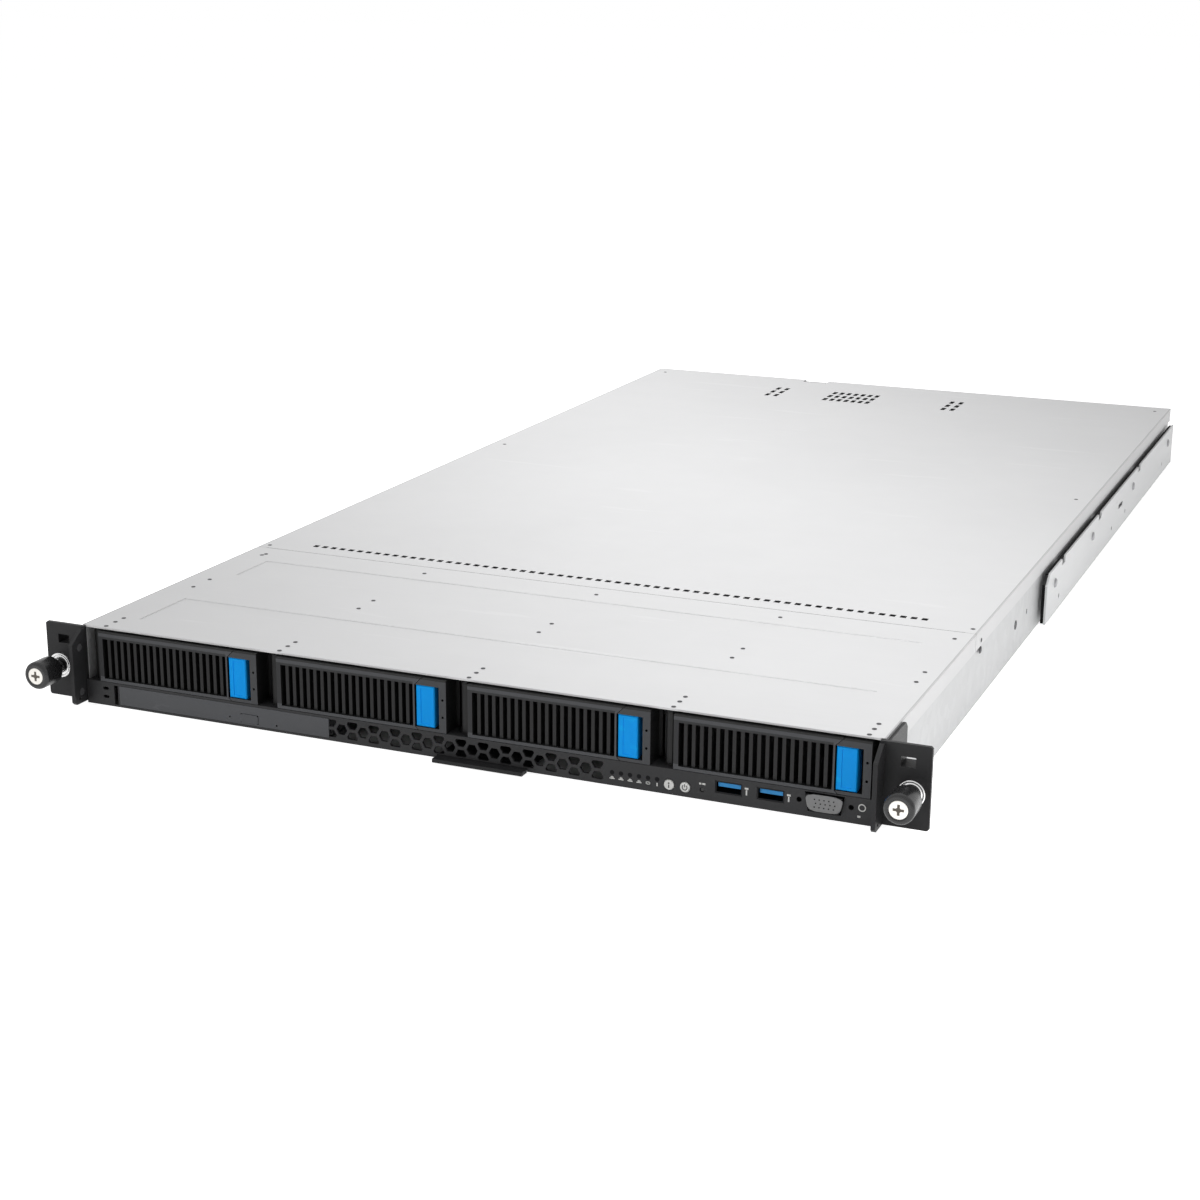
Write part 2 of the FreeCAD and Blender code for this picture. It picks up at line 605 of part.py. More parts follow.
def build_rear_cover():
    """Removable cover: two rows of slots behind the seam and three vents at the rear."""
    body = new_body("rear_cover")
    pad(body, "XZ", "seam_y + seam_gap", "body_depth", cover_section())
    through = (f"{COVER_UNDER} - 1", "body_height + 1")
    pocket(body, "XY", *through, rect("-86", "body_depth - 9", "-66", "body_depth + 1"))
    start = "-(slot_count - 1) / 2 * slot_pitch - slot_width / 2"
    slot = pocket(body, "XY", *through, rect(start, "slot_y - slot_length / 2", f"{start} + slot_width",
                                             "slot_y + slot_length / 2"))
    repeat(body, [slot], "X", "slot_count", "slot_pitch", "Y", "2", "slot_row")
    for left, columns, pitch in ((-96.8, 2, "wide_pitch"), (-47.6, 7, "slot_pitch"), (50.8, 2, "wide_pitch")):
        vent = pocket(body, "XY", *through, rect(left, "rear_slot_y", f"{left} + slot_width",
                                                 "rear_slot_y + rear_slot_length"))
        repeat(body, [vent], "X", columns, pitch, "Y", "rear_slot_rows", "rear_slot_row")
    return body


def build_cover_rivets():
    """Low rivet heads that hold the front cover to the drive cage."""
    columns = [f"bay_first + {number} * (bay_pitch - rivet_shift)" for number in (1, 2, 3)]
    columns = ["13.5 - body_half", *columns, "body_half - 8.4"]
    rows = ["2", "10.2", "17.8", "84.5", "101.2", "seam_y - 13"]
    return group("cover_rivets", [rod("Z", x, y, "body_height", "rivet_radius", "rivet_head")
                                  for x in columns for y in rows])


def build_front_panel():
    """Lower front strip with the hexagonal vent and every opening for drive, lamps, buttons and ports."""
    body = new_body("front_panel")
    front = "-face_reach"
    half = f"({PAN_IN} - 0.1)"
    pad(body, "XZ", front, PANEL_BACK, rect(f"-{half}", "strip_low", half, "strip_high"))
    pad(body, "XY", "strip_high - 1", "strip_high",
        rect(f"-{half} + shelf_sheet + 0.2", f"{PANEL_BACK} - 0.2", f"{half} - shelf_sheet - 0.2",
             "panel_shelf - face_reach"))
    through = (f"{front} - 1", f"{PANEL_BACK} + 1")
    right = "optical_left + optical_width"
    openings = [rect("optical_left - bezel_gap", "optical_low - bezel_gap", f"{right} + bezel_gap",
                     "optical_high - 0.4"),
                rect("optical_left - 3.3", "strip_low + 1.1", "optical_left - 0.9", "strip_high - 1.3"),
                rect("tag_x - tag_width / 2 - bezel_gap", "strip_low - 1", "tag_x + tag_width / 2 + bezel_gap",
                     "pan_sheet + tag_sheet + 0.4"),
                bore("locate_x", "button_z", "button_radius + button_gap"),
                bore("power_x", "button_z", "button_radius + button_gap"),
                bore("reset_x", "button_z", "reset_radius + button_gap"),
                ngon("display_x - screw_span / 2", "port_z", "1.4"),
                ngon("display_x + screw_span / 2", "port_z", "1.4"),
                [("display_x - 9.8", "port_z + 4.6"), ("display_x - 8.2", "port_z - 5"),
                 ("display_x + 7.8", "port_z - 5"), ("display_x + 9.4", "port_z + 4.6")]]
    for number in range(2):
        centre = f"usb_first + {number} * usb_pitch"
        openings.append(rect(f"{centre} - usb_width / 2 - bezel_gap", "port_z - usb_height / 2 - bezel_gap",
                             f"{centre} + usb_width / 2 + bezel_gap", "port_z + usb_height / 2 + bezel_gap"))
    pocket(body, "XZ", *through, *openings)
    for height in ("10.1", "5.5"):
        eye = "optical_left - 8.4"
        pocket(body, "XZ", *through, [(f"{eye} - 2", height), (f"{eye} - 1", f"{height} - 0.9"),
                                      (f"{eye} + 1", f"{height} - 0.9"), (f"{eye} + 2", height),
                                      (f"{eye} + 1", f"{height} + 0.9"), (f"{eye} - 1", f"{height} + 0.9")])
    lamp = pocket(body, "XZ", *through, ngon("lamp_first", "lamp_z", "lamp_radius + 0.1"))
    repeat(body, [lamp], "X", "6", "lamp_pitch")
    middle = "(vent_low + vent_high) / 2 - 0.4"
    full = pocket(body, "XZ", *through, hexagon("vent_left", middle, "vent_hole / 2", "vent_hole / 2"))
    repeat(body, [full], "X", "vent_columns", "2 * vent_pitch")
    step = "(vent_hole + 1.5) / 2"
    rise = f"(vent_high - {middle} - {step})"
    fall = f"({middle} - {step} - vent_low)"
    upper = hexagon("vent_left - vent_pitch", f"{middle} + {step}", rise, "vent_hole / 2")
    lower = hexagon("vent_left - vent_pitch", f"{middle} - {step}", "vent_hole / 2", fall)
    halves = pocket(body, "XZ", *through, upper, lower)
    repeat(body, [halves], "X", "vent_columns + 1", "2 * vent_pitch")
    return body


def build_rear_panel():
    """Rear wall beside the power supplies, with port openings, slot covers and a rolled upper lip."""
    body = new_body("rear_panel")
    front = "body_depth - 1.6"
    back = f"{front} + rear_sheet"
    right = f"{SUPPLY_LEFT} - 0.6"
    pad(body, "XZ", front, back, rect(f"-{PAN_IN}", "pan_sheet", right, PAN_TOP))
    pad(body, "XY", "pan_sheet", "pan_sheet + 1", rect(f"-{PAN_IN}", f"{front} - 8", right, back))
    pad(body, "XY", f"{PAN_TOP} - rear_sheet", PAN_TOP,
        rect("rear_x - 40", front, "rear_x + 62", "body_depth + 5.6"))
    pad(body, "YZ", f"{right} - rear_sheet", right, rect(f"{SUPPLY_FRONT} + 20", "pan_sheet", back, PAN_TOP))
    through = (f"{front} - 0.5", f"{back} + 0.5")
    pocket(body, "XZ", *through,
           rect("rear_x - 30.2", f"{MAIN_TOP} - 0.2", "rear_x - 13.8", f"{MAIN_TOP} + 13.7"),
           rect("rear_x - 10.2", f"{MAIN_TOP} - 0.2", "rear_x + 6.2", f"{MAIN_TOP} + 13.7"),
           rect("rear_x + 11.8", f"{MAIN_TOP} - 0.2", "rear_x + 26.2", f"{MAIN_TOP} + 15.2"),
           rect("rear_x + 30.8", f"{MAIN_TOP} - 0.2", "rear_x + 47.2", f"{MAIN_TOP} + 10.2"))
    start = "(10.6 - inside_half)"
    for low, high, end in (("27", "37", "rear_x - 90"), ("10", "18", "rear_x - 40")):
        hole = pocket(body, "XZ", *through, rect(start, low, f"{start} + 9", high))
        repeat(body, [hole], "X", f"floor(({end} - {start}) / 12)", "12")
    return body


# ---------------------------------------------------------------- rack ears and their screws
def build_rack_ear():
    """Right ear: a mounting plate, a forward fin, a strap along the side and a square locating socket."""
    body = new_body("rack_ear_right")
    plate = pad(body, "XZ", "-ear_sheet", "0", rect("fin_inner", "ear_low", "ear_end", "ear_high"))
    end = size("ear_end") - 0.1
    chamfer(body, plate, "0.9", lambda edge, middle: along(edge, "y") and middle.x > end)
    pad(body, "YZ", "fin_inner", "fin_outer", [
        ("-fin_reach + 1.5", "1.6"), ("-1", "1.6"), ("-1", "ear_high - 1.2"), ("-4", "ear_high - 1.2"),
        ("-fin_reach", "35"), ("-fin_reach", "3.1")])
    strap = pad(body, "YZ", "fin_outer", "fin_outer + strap_sheet",
                rect("-1", "ear_low", "strap_length", "ear_high - 0.9"))
    rear = size("strap_length") - 0.1
    chamfer(body, strap, "strap_corner", lambda edge, middle: along(edge, "x") and middle.y > rear)
    wall = "1.0"
    pad(body, "XZ", "-0.5", "socket_depth", rect(
        f"socket_x - socket_width / 2 - {wall}", f"socket_z - socket_height / 2 - {wall}",
        f"socket_x + socket_width / 2 + {wall}", f"socket_z + socket_height / 2 + {wall}"))
    pocket(body, "XZ", "-ear_sheet - 1", "socket_depth + 1", rect(
        "socket_x - socket_width / 2", "socket_z - socket_height / 2",
        "socket_x + socket_width / 2", "socket_z + socket_height / 2"))
    pocket(body, "XZ", "-ear_sheet - 1", "1", ngon("screw_x", "screw_z", "collar_fit", ROUND))
    pocket(body, "YZ", "fin_inner - 1", "fin_outer + 1", ngon("-8.9", "4.1", "0.9"))
    seats = [ngon("-6.6", height, "2.3") for height in ("32.1", "7.6")]
    pocket(body, "YZ", "fin_inner - 1", "fin_outer - 0.8", *seats)
    return body


def build_ear_screws():
    """Flat-head screws in the fins, two a side."""
    screws = []
    for side in ("-1", "1"):
        start = "-(fin_outer - 0.8)" if side == "-1" else "fin_inner + 0.2"
        screws += [rod("X", start, "-6.6", height, "2.2", "fin_sheet - 1") for height in ("32.1", "7.6")]
    return group("ear_screws", screws)


def build_collars():
    """Pressed-in collars that hold the rack screws captive."""
    collars = []
    for side in ("-1", "1"):
        body = new_body("collar_left" if side == "-1" else "collar_right", f"{side} * screw_x", "0", "screw_z")
        front = "-ear_sheet - collar_rim"
        level = size(front)
        rim = pad(body, "XZ", front, "-ear_sheet", ngon("0", "0", "collar_radius", ROUND))
        chamfer(body, rim, "0.5", lambda edge, middle: abs(middle.y - level) < 0.01)
        pad(body, "XZ", "-ear_sheet", "0", ngon("0", "0", "collar_fit - 0.05", ROUND))
        pocket(body, "XZ", f"{front} - 1", "1", bore("0", "0", "shank_radius + collar_play"))
        pocket(body, "XZ", "-retainer_seat", "1", bore("0", "0", "retainer_radius + 0.3"))
        collars.append(body)
    return group("screw_collars", collars)


def build_rack_screw(label, side):
    """Captive rack screw: a knob moulded on a steel shank, a neck for its ring and a thread behind the ear."""
    body = new_body(label, f"{side} * screw_x", "0", "screw_z")
    level = -size("knob_front")
    knob = pad(body, "XZ", "-knob_front", "-knob_back - 2.6", ngon("0", "0", "knob_radius", ROUND))
    chamfer(body, knob, "1.1", lambda edge, middle: abs(middle.y - level) < 0.01)
    pad(body, "XZ", "-knob_back - 2.6", "-knob_back", ngon("0", "0", "knob_radius - 2", ROUND))
    neck = "-retainer_seat - 0.1"
    pad(body, "XZ", "-knob_back", neck, ("0", "0", "shank_radius"))
    pad(body, "XZ", neck, "neck_end", ("0", "0", "neck_radius"))
    pad(body, "XZ", "neck_end", "thread_end", ("0", "0", "thread_radius"))
    arm = "2.6"
    half = "0.5"
    cross = [(f"-{half}", f"-{arm}"), (half, f"-{arm}"), (half, f"-{half}"), (arm, f"-{half}"), (arm, half),
             (half, half), (half, arm), (f"-{half}", arm), (f"-{half}", half), (f"-{arm}", half),
             (f"-{arm}", f"-{half}"), (f"-{half}", f"-{half}")]
    pocket(body, "XZ", "-knob_front - 1", "-knob_front + 2.1", cross)
    return body


def build_retainer(label, side):
    """Ring in the back of the collar that rides on a rack screw's neck and keeps it captive."""
    body = new_body(label, f"{side} * screw_x", "0", "screw_z")
    front = "0.1 - retainer_seat"
    pad(body, "XZ", front, "-0.1", ngon("0", "0", "retainer_radius", 2 * SIDES))
    pocket(body, "XZ", f"{front} - 1", "1", ("0", "0", "neck_radius + retainer_play"))
    return body


# ---------------------------------------------------------------- drive trays
def bay(number):
    """The left edge of a bay's lever."""
    return f"bay_first + {number - 1} * bay_pitch"


def build_lever(number):
    """Tray lever: a frame around a grille of deep upright bars, on a pierced knuckle."""
    body = new_body(f"tray_lever_{number}", bay(number))
    front = "-face_reach"
    back = "lever_depth - face_reach"
    rise = "(face_high - grille_high)"
    pad(body, "XZ", front, back, [
        ("0", "face_low"), ("lever_end + 1.5", "face_low"), ("lever_end", "face_low + 1.5"),
        ("lever_end", "grille_high"), (f"lever_end + {rise}", "face_high"), ("0", "face_high")])
    pad(body, "XY", "face_low + lug_sheet + lug_gap + 0.1", "face_high - lug_sheet - lug_gap - 0.2",
        ngon("-hinge_reach", "hinge_y", "knuckle_radius", 12))
    pad(body, "XY", "face_low + lug_sheet + lug_gap + 0.1", "face_high - lug_sheet - lug_gap - 0.2",
        rect("-hinge_reach", "hinge_y - 1", "0.5", "hinge_y + 2.4"))
    pocket(body, "XY", "face_low - 1", "face_high + 1", ("-hinge_reach", "hinge_y", "hinge_pin + hinge_play"))
    pocket(body, "XZ", f"{front} - 1", f"{front} + grille_sink",
           rect("lever_rim", "grille_low", "lever_end - 1", "grille_high"))
    slot = pocket(body, "XZ", f"{front} - 1", f"{back} + 1",
                  rect("lever_rim", "grille_low", "lever_rim + grille_slot", "grille_high"))
    repeat(body, [slot], "X", "grille_count", "grille_pitch")
    return body


def build_tray(number):
    """Tray: a sheet trough, a front bezel at the latch and lugs with the lever's pin."""
    body = new_body(f"drive_tray_{number}", bay(number))
    left = "(-hinge_zone)"
    top = "(tray_low + tray_wall)"
    pad(body, "XZ", TRAY_FRONT, "tray_back", [
        (left, "tray_low"), (TRAY_RIGHT, "tray_low"), (TRAY_RIGHT, top), (f"{TRAY_RIGHT} - tray_sheet", top),
        (f"{TRAY_RIGHT} - tray_sheet", "tray_low + tray_floor"),
        (f"{left} + tray_sheet", "tray_low + tray_floor"), (f"{left} + tray_sheet", top), (left, top)])
    pad(body, "XZ", TRAY_FRONT, f"{TRAY_FRONT} + 1.5", rect(left, "tray_low", TRAY_RIGHT, "face_high - 0.2"))
    column = "(face_width - bezel_column)"
    rise = "(face_high - grille_high)"
    pad(body, "XZ", "-face_reach", f"{TRAY_FRONT} + 0.5", [
        (f"lever_end + face_gap + {rise}", "face_high"), ("lever_end + face_gap", "grille_high"),
        (column, "grille_high"), (column, "grille_low"), ("lever_end + face_gap", "grille_low"),
        ("lever_end + face_gap + 1.6", "face_low"), ("face_width", "face_low"), ("face_width", "face_high")])
    for low, high in (("face_low + 0.1", "face_low + 0.1 + lug_sheet"),
                      ("face_high - 0.2 - lug_sheet", "face_high - 0.2")):
        pad(body, "XY", low, high, ngon("-hinge_reach", "hinge_y", "knuckle_radius", 12))
        pad(body, "XY", low, high, rect(f"{left} + 0.3", "hinge_y", "-0.6", f"{TRAY_FRONT} + 0.5"))
    pad(body, "XY", "face_low + 0.2", "face_high - 0.3", ("-hinge_reach", "hinge_y", "hinge_pin"))
    pocket(body, "XZ", f"{TRAY_FRONT} - 0.5", f"{TRAY_FRONT} + 2",
           rect("2", "grille_low + 0.5", "lever_end - 4", "grille_high - 0.5"))
    lamps = [ngon("face_width - bezel_column / 2", height, "0.7") for height in ("31", "22")]
    pocket(body, "XZ", "-face_reach - 1", "-face_reach + 2", *lamps)
    window = pocket(body, "YZ", f"{left} - 1", f"{TRAY_RIGHT} + 1",
                    rect("30", "tray_low + 5", "tray_back / 2 + 6", f"{top} - 5"))
    repeat(body, [window], "Y", "2", "tray_back / 2 - 14")
    return body


def build_latch(number):
    """Latch plate beside the lever, dished for a thumb, with a guide stem behind it."""
    body = new_body(f"tray_latch_{number}", bay(number))
    left = "(lever_end + face_gap + 0.3)"
    front = "(latch_sink - face_reach)"
    low = "grille_low + latch_gap"
    high = "grille_high - latch_gap"
    plate = pad(body, "XZ", front, f"{front} + latch_depth", rect(left, low, f"{left} + latch_width", high))
    chamfer(body, plate, "0.5", lambda edge, middle: abs(middle.y - size(front)) < 0.01)
    pocket(body, "XZ", f"{front} - 1", f"{front} + 0.25",
           rect(f"{left} + 2.6", f"{low} + 1.6", f"{left} + latch_width - 2.6", f"{high} - 1.6"))
    return body


def build_hard_drive(number):
    """Hard drive: a cast body with bevelled corners, a recessed lid and a connector notch."""
    body = new_body(f"hard_drive_{number}", bay(number))
    left = "(tray_width / 2 - hinge_zone - drive_width / 2)"
    low = "(tray_low + tray_floor)"
    back = "(drive_front + drive_length)"
    top = f"{low} + drive_height"
    block = pad(body, "XY", low, top, rect(left, "drive_front", f"{left} + drive_width", back))
    chamfer(body, block, "2", lambda edge, middle: along(edge, "z"))
    pocket(body, "XY", f"{top} - 0.6", f"{top} + 1",
           rect(f"{left} + 3", "drive_front + 4", f"{left} + drive_width - 3", f"{back} - 14"))
    pocket(body, "XZ", f"{back} - 6", f"{back} + 1",
           rect(f"{left} + 30", f"{low} - 1", f"{left} + 74", f"{low} + 6"))
    return body


def build_backplane():
    """Drive backplane: an upright board with air windows and one socket behind each drive."""
    body = new_body("drive_backplane")
    front = "backplane_y"
    half = f"({PAN_IN} - 1)"
    pad(body, "XZ", front, f"{front} + board_sheet", rect(f"-{half}", "pan_sheet", half, f"{PAN_TOP} - 0.4"))
    left = "bay_first + tray_width / 2 - hinge_zone"
    low = "(tray_low + tray_floor)"
    socket = pad(body, "XZ", "drive_front + drive_length - 5.5", f"{front} + 0.5",
                 rect(f"{left} - 20", f"{low} + 0.5", f"{left} + 22", f"{low} + 5.5"))
    window = pocket(body, "XZ", f"{front} - 1", f"{front} + board_sheet + 1",
                    rect(f"{left} - 40", f"{low} + 9", f"{left} + 40", f"{low} + 20"))
    repeat(body, [socket, window], "X", "4", "bay_pitch")
    pocket(body, "XZ", f"{front} - 1", f"{front} + board_sheet + 1", rect("-60", "3", "60", "12"))
    return body


# ---------------------------------------------------------------- optical drive
def build_optical_case():
    """Slim optical drive's case: a flat sheet shell open at the front."""
    body = new_body("optical_drive_case")
    left = "(optical_left + 0.6)"
    right = "(optical_left + optical_width - 0.6)"
    low = "(optical_low + 0.2)"
    high = "(optical_high - 0.6)"
    pad(body, "XZ", "0.4", "optical_length", rect(left, low, right, high))
    pocket(body, "XZ", "-1", "optical_length - optical_wall", rect(
        f"{left} + optical_wall", f"{low} + optical_wall", f"{right} - optical_wall", f"{high} - optical_wall"))
    return body


def build_optical_tray():
    """Slim optical drive's tray with its bezel, disc recess and spindle."""
    body = new_body("optical_tray")
    left = "(optical_left + 0.6 + optical_wall + bezel_gap)"
    right = "(optical_left + optical_width - 0.6 - optical_wall - bezel_gap)"
    low = "(optical_low + 0.2 + optical_wall + bezel_gap)"
    back = "(bezel_sheet - face_reach)"
    pad(body, "XZ", "-face_reach", back, rect("optical_left", "optical_low", "optical_left + optical_width",
                                             "optical_high - 0.6"))
    pad(body, "XZ", f"{back} - 0.5", "optical_length - 4", rect(left, low, right, f"{low} + 5.4"))
    middle = "(optical_left + optical_width / 2)"
    pocket(body, "XY", f"{low} + 3.6", f"{low} + 6.4", ngon(middle, "disc_y", "disc_radius", 32))
    pad(body, "XY", f"{low} + 3.4", f"{low} + 5", ngon(middle, "disc_y", "7.4", 16))
    pocket(body, "XZ", "-face_reach - 1", f"{back} - 0.2", rect(
        "eject_left", "eject_low", "eject_left + eject_width", "eject_low + eject_height"))
    pocket(body, "XZ", "-face_reach - 1", "-face_reach + 1.5",
           ngon("eject_left - 6.5", "5.1", "0.5"), ngon("eject_left + 21.4", "3.9", "0.6"))
    return body


def build_eject_button():
    """Optical drive's eject button in its bezel."""
    body = new_body("eject_button")
    key = pad(body, "XZ", "-face_reach - 0.3", "-face_reach + 1.3", rect(
        "eject_left + bezel_gap", "eject_low + bezel_gap",
        "eject_left + eject_width - bezel_gap", "eject_low + eject_height - bezel_gap"))
    chamfer(body, key, "0.6", lambda edge, middle: along(edge, "y"))
    return body


# ---------------------------------------------------------------- buttons, lamps and ports
def build_round_button(label, x):
    """Round push button with a bevelled cap, a retaining collar behind the panel and a stem to its switch."""
    body = new_body(label, x, "0", "button_z")
    front = "-face_reach - button_proud"
    level = size(front)
    cap = pad(body, "XZ", front, f"{PANEL_BACK} + 0.1", ngon("0", "0", "button_radius", ROUND))
    chamfer(body, cap, "0.3", lambda edge, middle: abs(middle.y - level) < 0.01)
    pad(body, "XZ", f"{PANEL_BACK} + 0.1", f"{PANEL_BACK} + 0.7", ngon("0", "0", "button_radius + 0.9", 12))
    pad(body, "XZ", f"{PANEL_BACK} + 0.7", "switch_y - 1.2", ngon("0", "0", "button_radius / 2"))
    return body


def build_reset_button():
    """Sunk reset plunger, worked with a pin."""
    body = new_body("reset_button", "reset_x", "0", "button_z")
    pad(body, "XZ", "-face_reach + 0.5", "switch_y - 1.2", ngon("0", "0", "reset_radius", 12))
    return body


def build_lamp_lenses():
    """Light guides of the six front indicators."""
    places = [f"lamp_first + {number} * lamp_pitch" for number in range(6)]
    return group("lamp_lenses", [rod("Y", x, "-face_reach", "lamp_z", "lamp_radius", "face_reach + switch_y")
                                 for x in places])


def build_control_board():
    """Front control board: switches, lamps and port seats on a level board."""
    seat = f"{CONTROL_HIGH} - 0.5"
    pieces = [box("lamp_first - 5", "switch_y", CONTROL_LOW, "inside_half - 5.6", "40", CONTROL_HIGH)]
    for x in ("locate_x", "power_x", "reset_x"):
        pieces.append(box(f"{x} - 2.6", "switch_y", seat, f"{x} + 2.6", "switch_y + 4", "button_z + 2.4"))
    pieces.append(box("lamp_first - 2", "switch_y", seat, "lamp_first + 5 * lamp_pitch + 2",
                      "switch_y + 3", "lamp_z + 1.4"))
    pieces.append(box("usb_first + 4.8", "28", seat, "usb_first + 40.8", "34", f"{CONTROL_HIGH} + 5"))
    return join("control_board", pieces)


def build_port_shells():
    """Steel shells of the two USB ports and the display port."""
    shells = []
    for number in range(2):
        body = new_body(f"usb_shell_{number + 1}", f"usb_first + {number} * usb_pitch", "0", "port_z")
        half = "usb_width / 2"
        rise = "usb_height / 2"
        pad(body, "XZ", "-face_reach + 0.2", "13", rect(f"-{half}", f"-{rise}", half, rise))
        pocket(body, "XZ", "-face_reach - 1", "12",
               rect(f"-{half} + 0.4", f"-{rise} + 0.4", f"{half} - 0.4", f"{rise} - 0.4"))
        shells.append(body)
    body = new_body("display_shell", "display_x", "0", "port_z")
    pad(body, "XZ", "-face_reach - 1.6", "1", [("-8.6", "4"), ("-7", "-4"), ("7", "-4"), ("8.6", "4")])
    pocket(body, "XZ", "-face_reach - 2", "0",
           [("-8.1", "3.6"), ("-6.7", "-3.6"), ("6.7", "-3.6"), ("8.1", "3.6")])
    pad(body, "XZ", "0.5", "switch_y + 10", rect("-15.4", "-usb_height / 2 - 0.1", "15.4", "4.2"))
    shells.append(body)
    return group("port_shells", shells)


def build_usb_tongues():
    """Moulded tongues inside the two USB ports."""
    tongues = []
    for number in range(2):
        x = f"usb_first + {number} * usb_pitch"
        tongues.append(box(f"{x} - 5.6", "-face_reach + 1.4", "port_z - 0.1",
                           f"{x} + 5.6", "12", "port_z + 1.8"))
    return group("usb_tongues", tongues)


def build_display_insert():
    """Insulator of the display port, with three rows of contact holes."""
    body = new_body("display_insert", "display_x", "0", "port_z")
    pad(body, "XZ", "-face_reach - 1.2", "0",
        [("-7.9", "3.4"), ("-6.5", "-3.4"), ("6.5", "-3.4"), ("7.9", "3.4")])
    hole = pocket(body, "XZ", "-face_reach - 2", "-face_reach + 1", rect("-5", "-2.4", "-4.2", "-1.6"))
    repeat(body, [hole], "X", "5", "2.3", "Z", "3", "2")
    return body


def build_tag():
    """Pull-out tag: a thin card on the floor behind a finger lip."""
    left = "tag_x - tag_width / 2"
    right = "tag_x + tag_width / 2"
    card = box(left, f"{PANEL_BACK} - 2", "pan_sheet + 0.1", right, "tag_length", "pan_sheet + 0.1 + tag_sheet")
    lip = box(left, "-tag_reach", "0.15", right, "-face_reach - 0.1", "pan_sheet + 0.1 + tag_sheet")
    return join("pull_out_tag", [card, lip])


# ---------------------------------------------------------------- side rails
def build_side_rail():
    """Right inner rail: a long bar on studs, with hook notches and bevelled ends."""
    body = new_body("side_rail_right")
    inner = f"({PAN_OUT} + rail_gap)"
    pad(body, "YZ", inner, f"{inner} + rail_sheet", [
        ("rail_front", "rail_low"), ("rail_back", "rail_low"), ("rail_back", "rail_high"),
        ("rail_front + 9", "rail_high"), ("rail_front", "rail_high - 6")])
    through = (f"{inner} - 1", f"{inner} + rail_sheet + 1")
    length = "(rail_back - rail_front)"
    for share in (0.09, 0.34, 0.66):
        notch = f"rail_front + {share} * {length}"
        pocket(body, "YZ", *through, [(notch, "rail_high + 1"), (notch, "rail_high - 4"),
                                      (f"{notch} + 9", "rail_high - 4"), (f"{notch} + 11", "rail_high + 1")])
    holes = [ngon(f"rail_front + {share} * {length}", "rail_low + 8", "1.6") for share in (0.08, 0.45, 0.56, 0.9)]
    pocket(body, "YZ", *through, *holes)
    pocket(body, "YZ", *through, rect(f"rail_front + 0.5 * {length}", "rail_high - 14",
                                      f"rail_front + 0.5 * {length} + 16", "rail_high - 11"))
    return body


# ---------------------------------------------------------------- cooling
def fan_x(number):
    """The centre of a fan."""
    return f"({number} - 3.5) * fan_pitch"


def build_fan_frames():
    """Six square fan frames with ducts, struts and bearing hubs on one base plate."""
    body = new_body("fan_frames")
    low = "(pan_sheet + fan_plate)"
    middle = f"({low} + fan_size / 2)"
    back = "(fan_y + fan_depth)"
    pad(body, "XY", "pan_sheet", low, rect("-3 * fan_pitch", "fan_y - 3", "3 * fan_pitch", f"{back} + 3"))
    x = fan_x(1)
    left = f"{x} - fan_size / 2"
    frame = pad(body, "XZ", "fan_y", back, rect(left, f"{low} - 0.1", f"{left} + fan_size", f"{low} + fan_size"))
    duct = pocket(body, "XZ", "fan_y - 1", f"{back} + 1", ngon(x, middle, "fan_duct", 2 * SIDES))
    reach = "(fan_duct + 0.5)"
    strut = pad(body, "XZ", f"{back} - 3", back, rect(f"{x} - 1", f"{middle} - {reach}", f"{x} + 1",
                                                     f"{middle} + {reach}"))
    cross = pad(body, "XZ", f"{back} - 3", back, rect(f"{x} - {reach}", f"{middle} - 1", f"{x} + {reach}",
                                                     f"{middle} + 1"))
    hub = pad(body, "XZ", f"{back} - 6", back, ngon(x, middle, "fan_hub - 1", 12))
    bearing = pocket(body, "XZ", f"{back} - 7", f"{back} - 1", bore(x, middle, "fan_shaft + shaft_play", 12))
    repeat(body, [frame, duct, strut, cross, hub, bearing], "X", "6", "fan_pitch")
    return body


def build_fan_rotor(number):
    """Fan rotor: a hub cup with five pitched blades and a shaft."""
    body = new_body(f"fan_rotor_{number}", fan_x(number), "fan_y", "pan_sheet + fan_plate + fan_size / 2")
    end = "(fan_depth - 6.4)"
    pad(body, "XZ", "1.5", end, ngon("0", "0", "fan_hub", 14))
    pad(body, "XZ", f"{end} - 1", "fan_depth - 1.6", ngon("0", "0", "fan_shaft", 12))
    blade = pad(body, "YZ", "fan_hub - 0.8", "fan_tip",
                [("3", "-3.4"), ("3.9", "-4"), (f"{end} - 1", "3.4"), (f"{end} - 1.9", "4")])
    around(body, [blade], "Y", 5)
    return body


# ---------------------------------------------------------------- electronics
# first module of each bank of memory
BANKS = ("10.6 - inside_half", "-4.8 - bank_width", "4", "inside_half - 11.4 - bank_width")


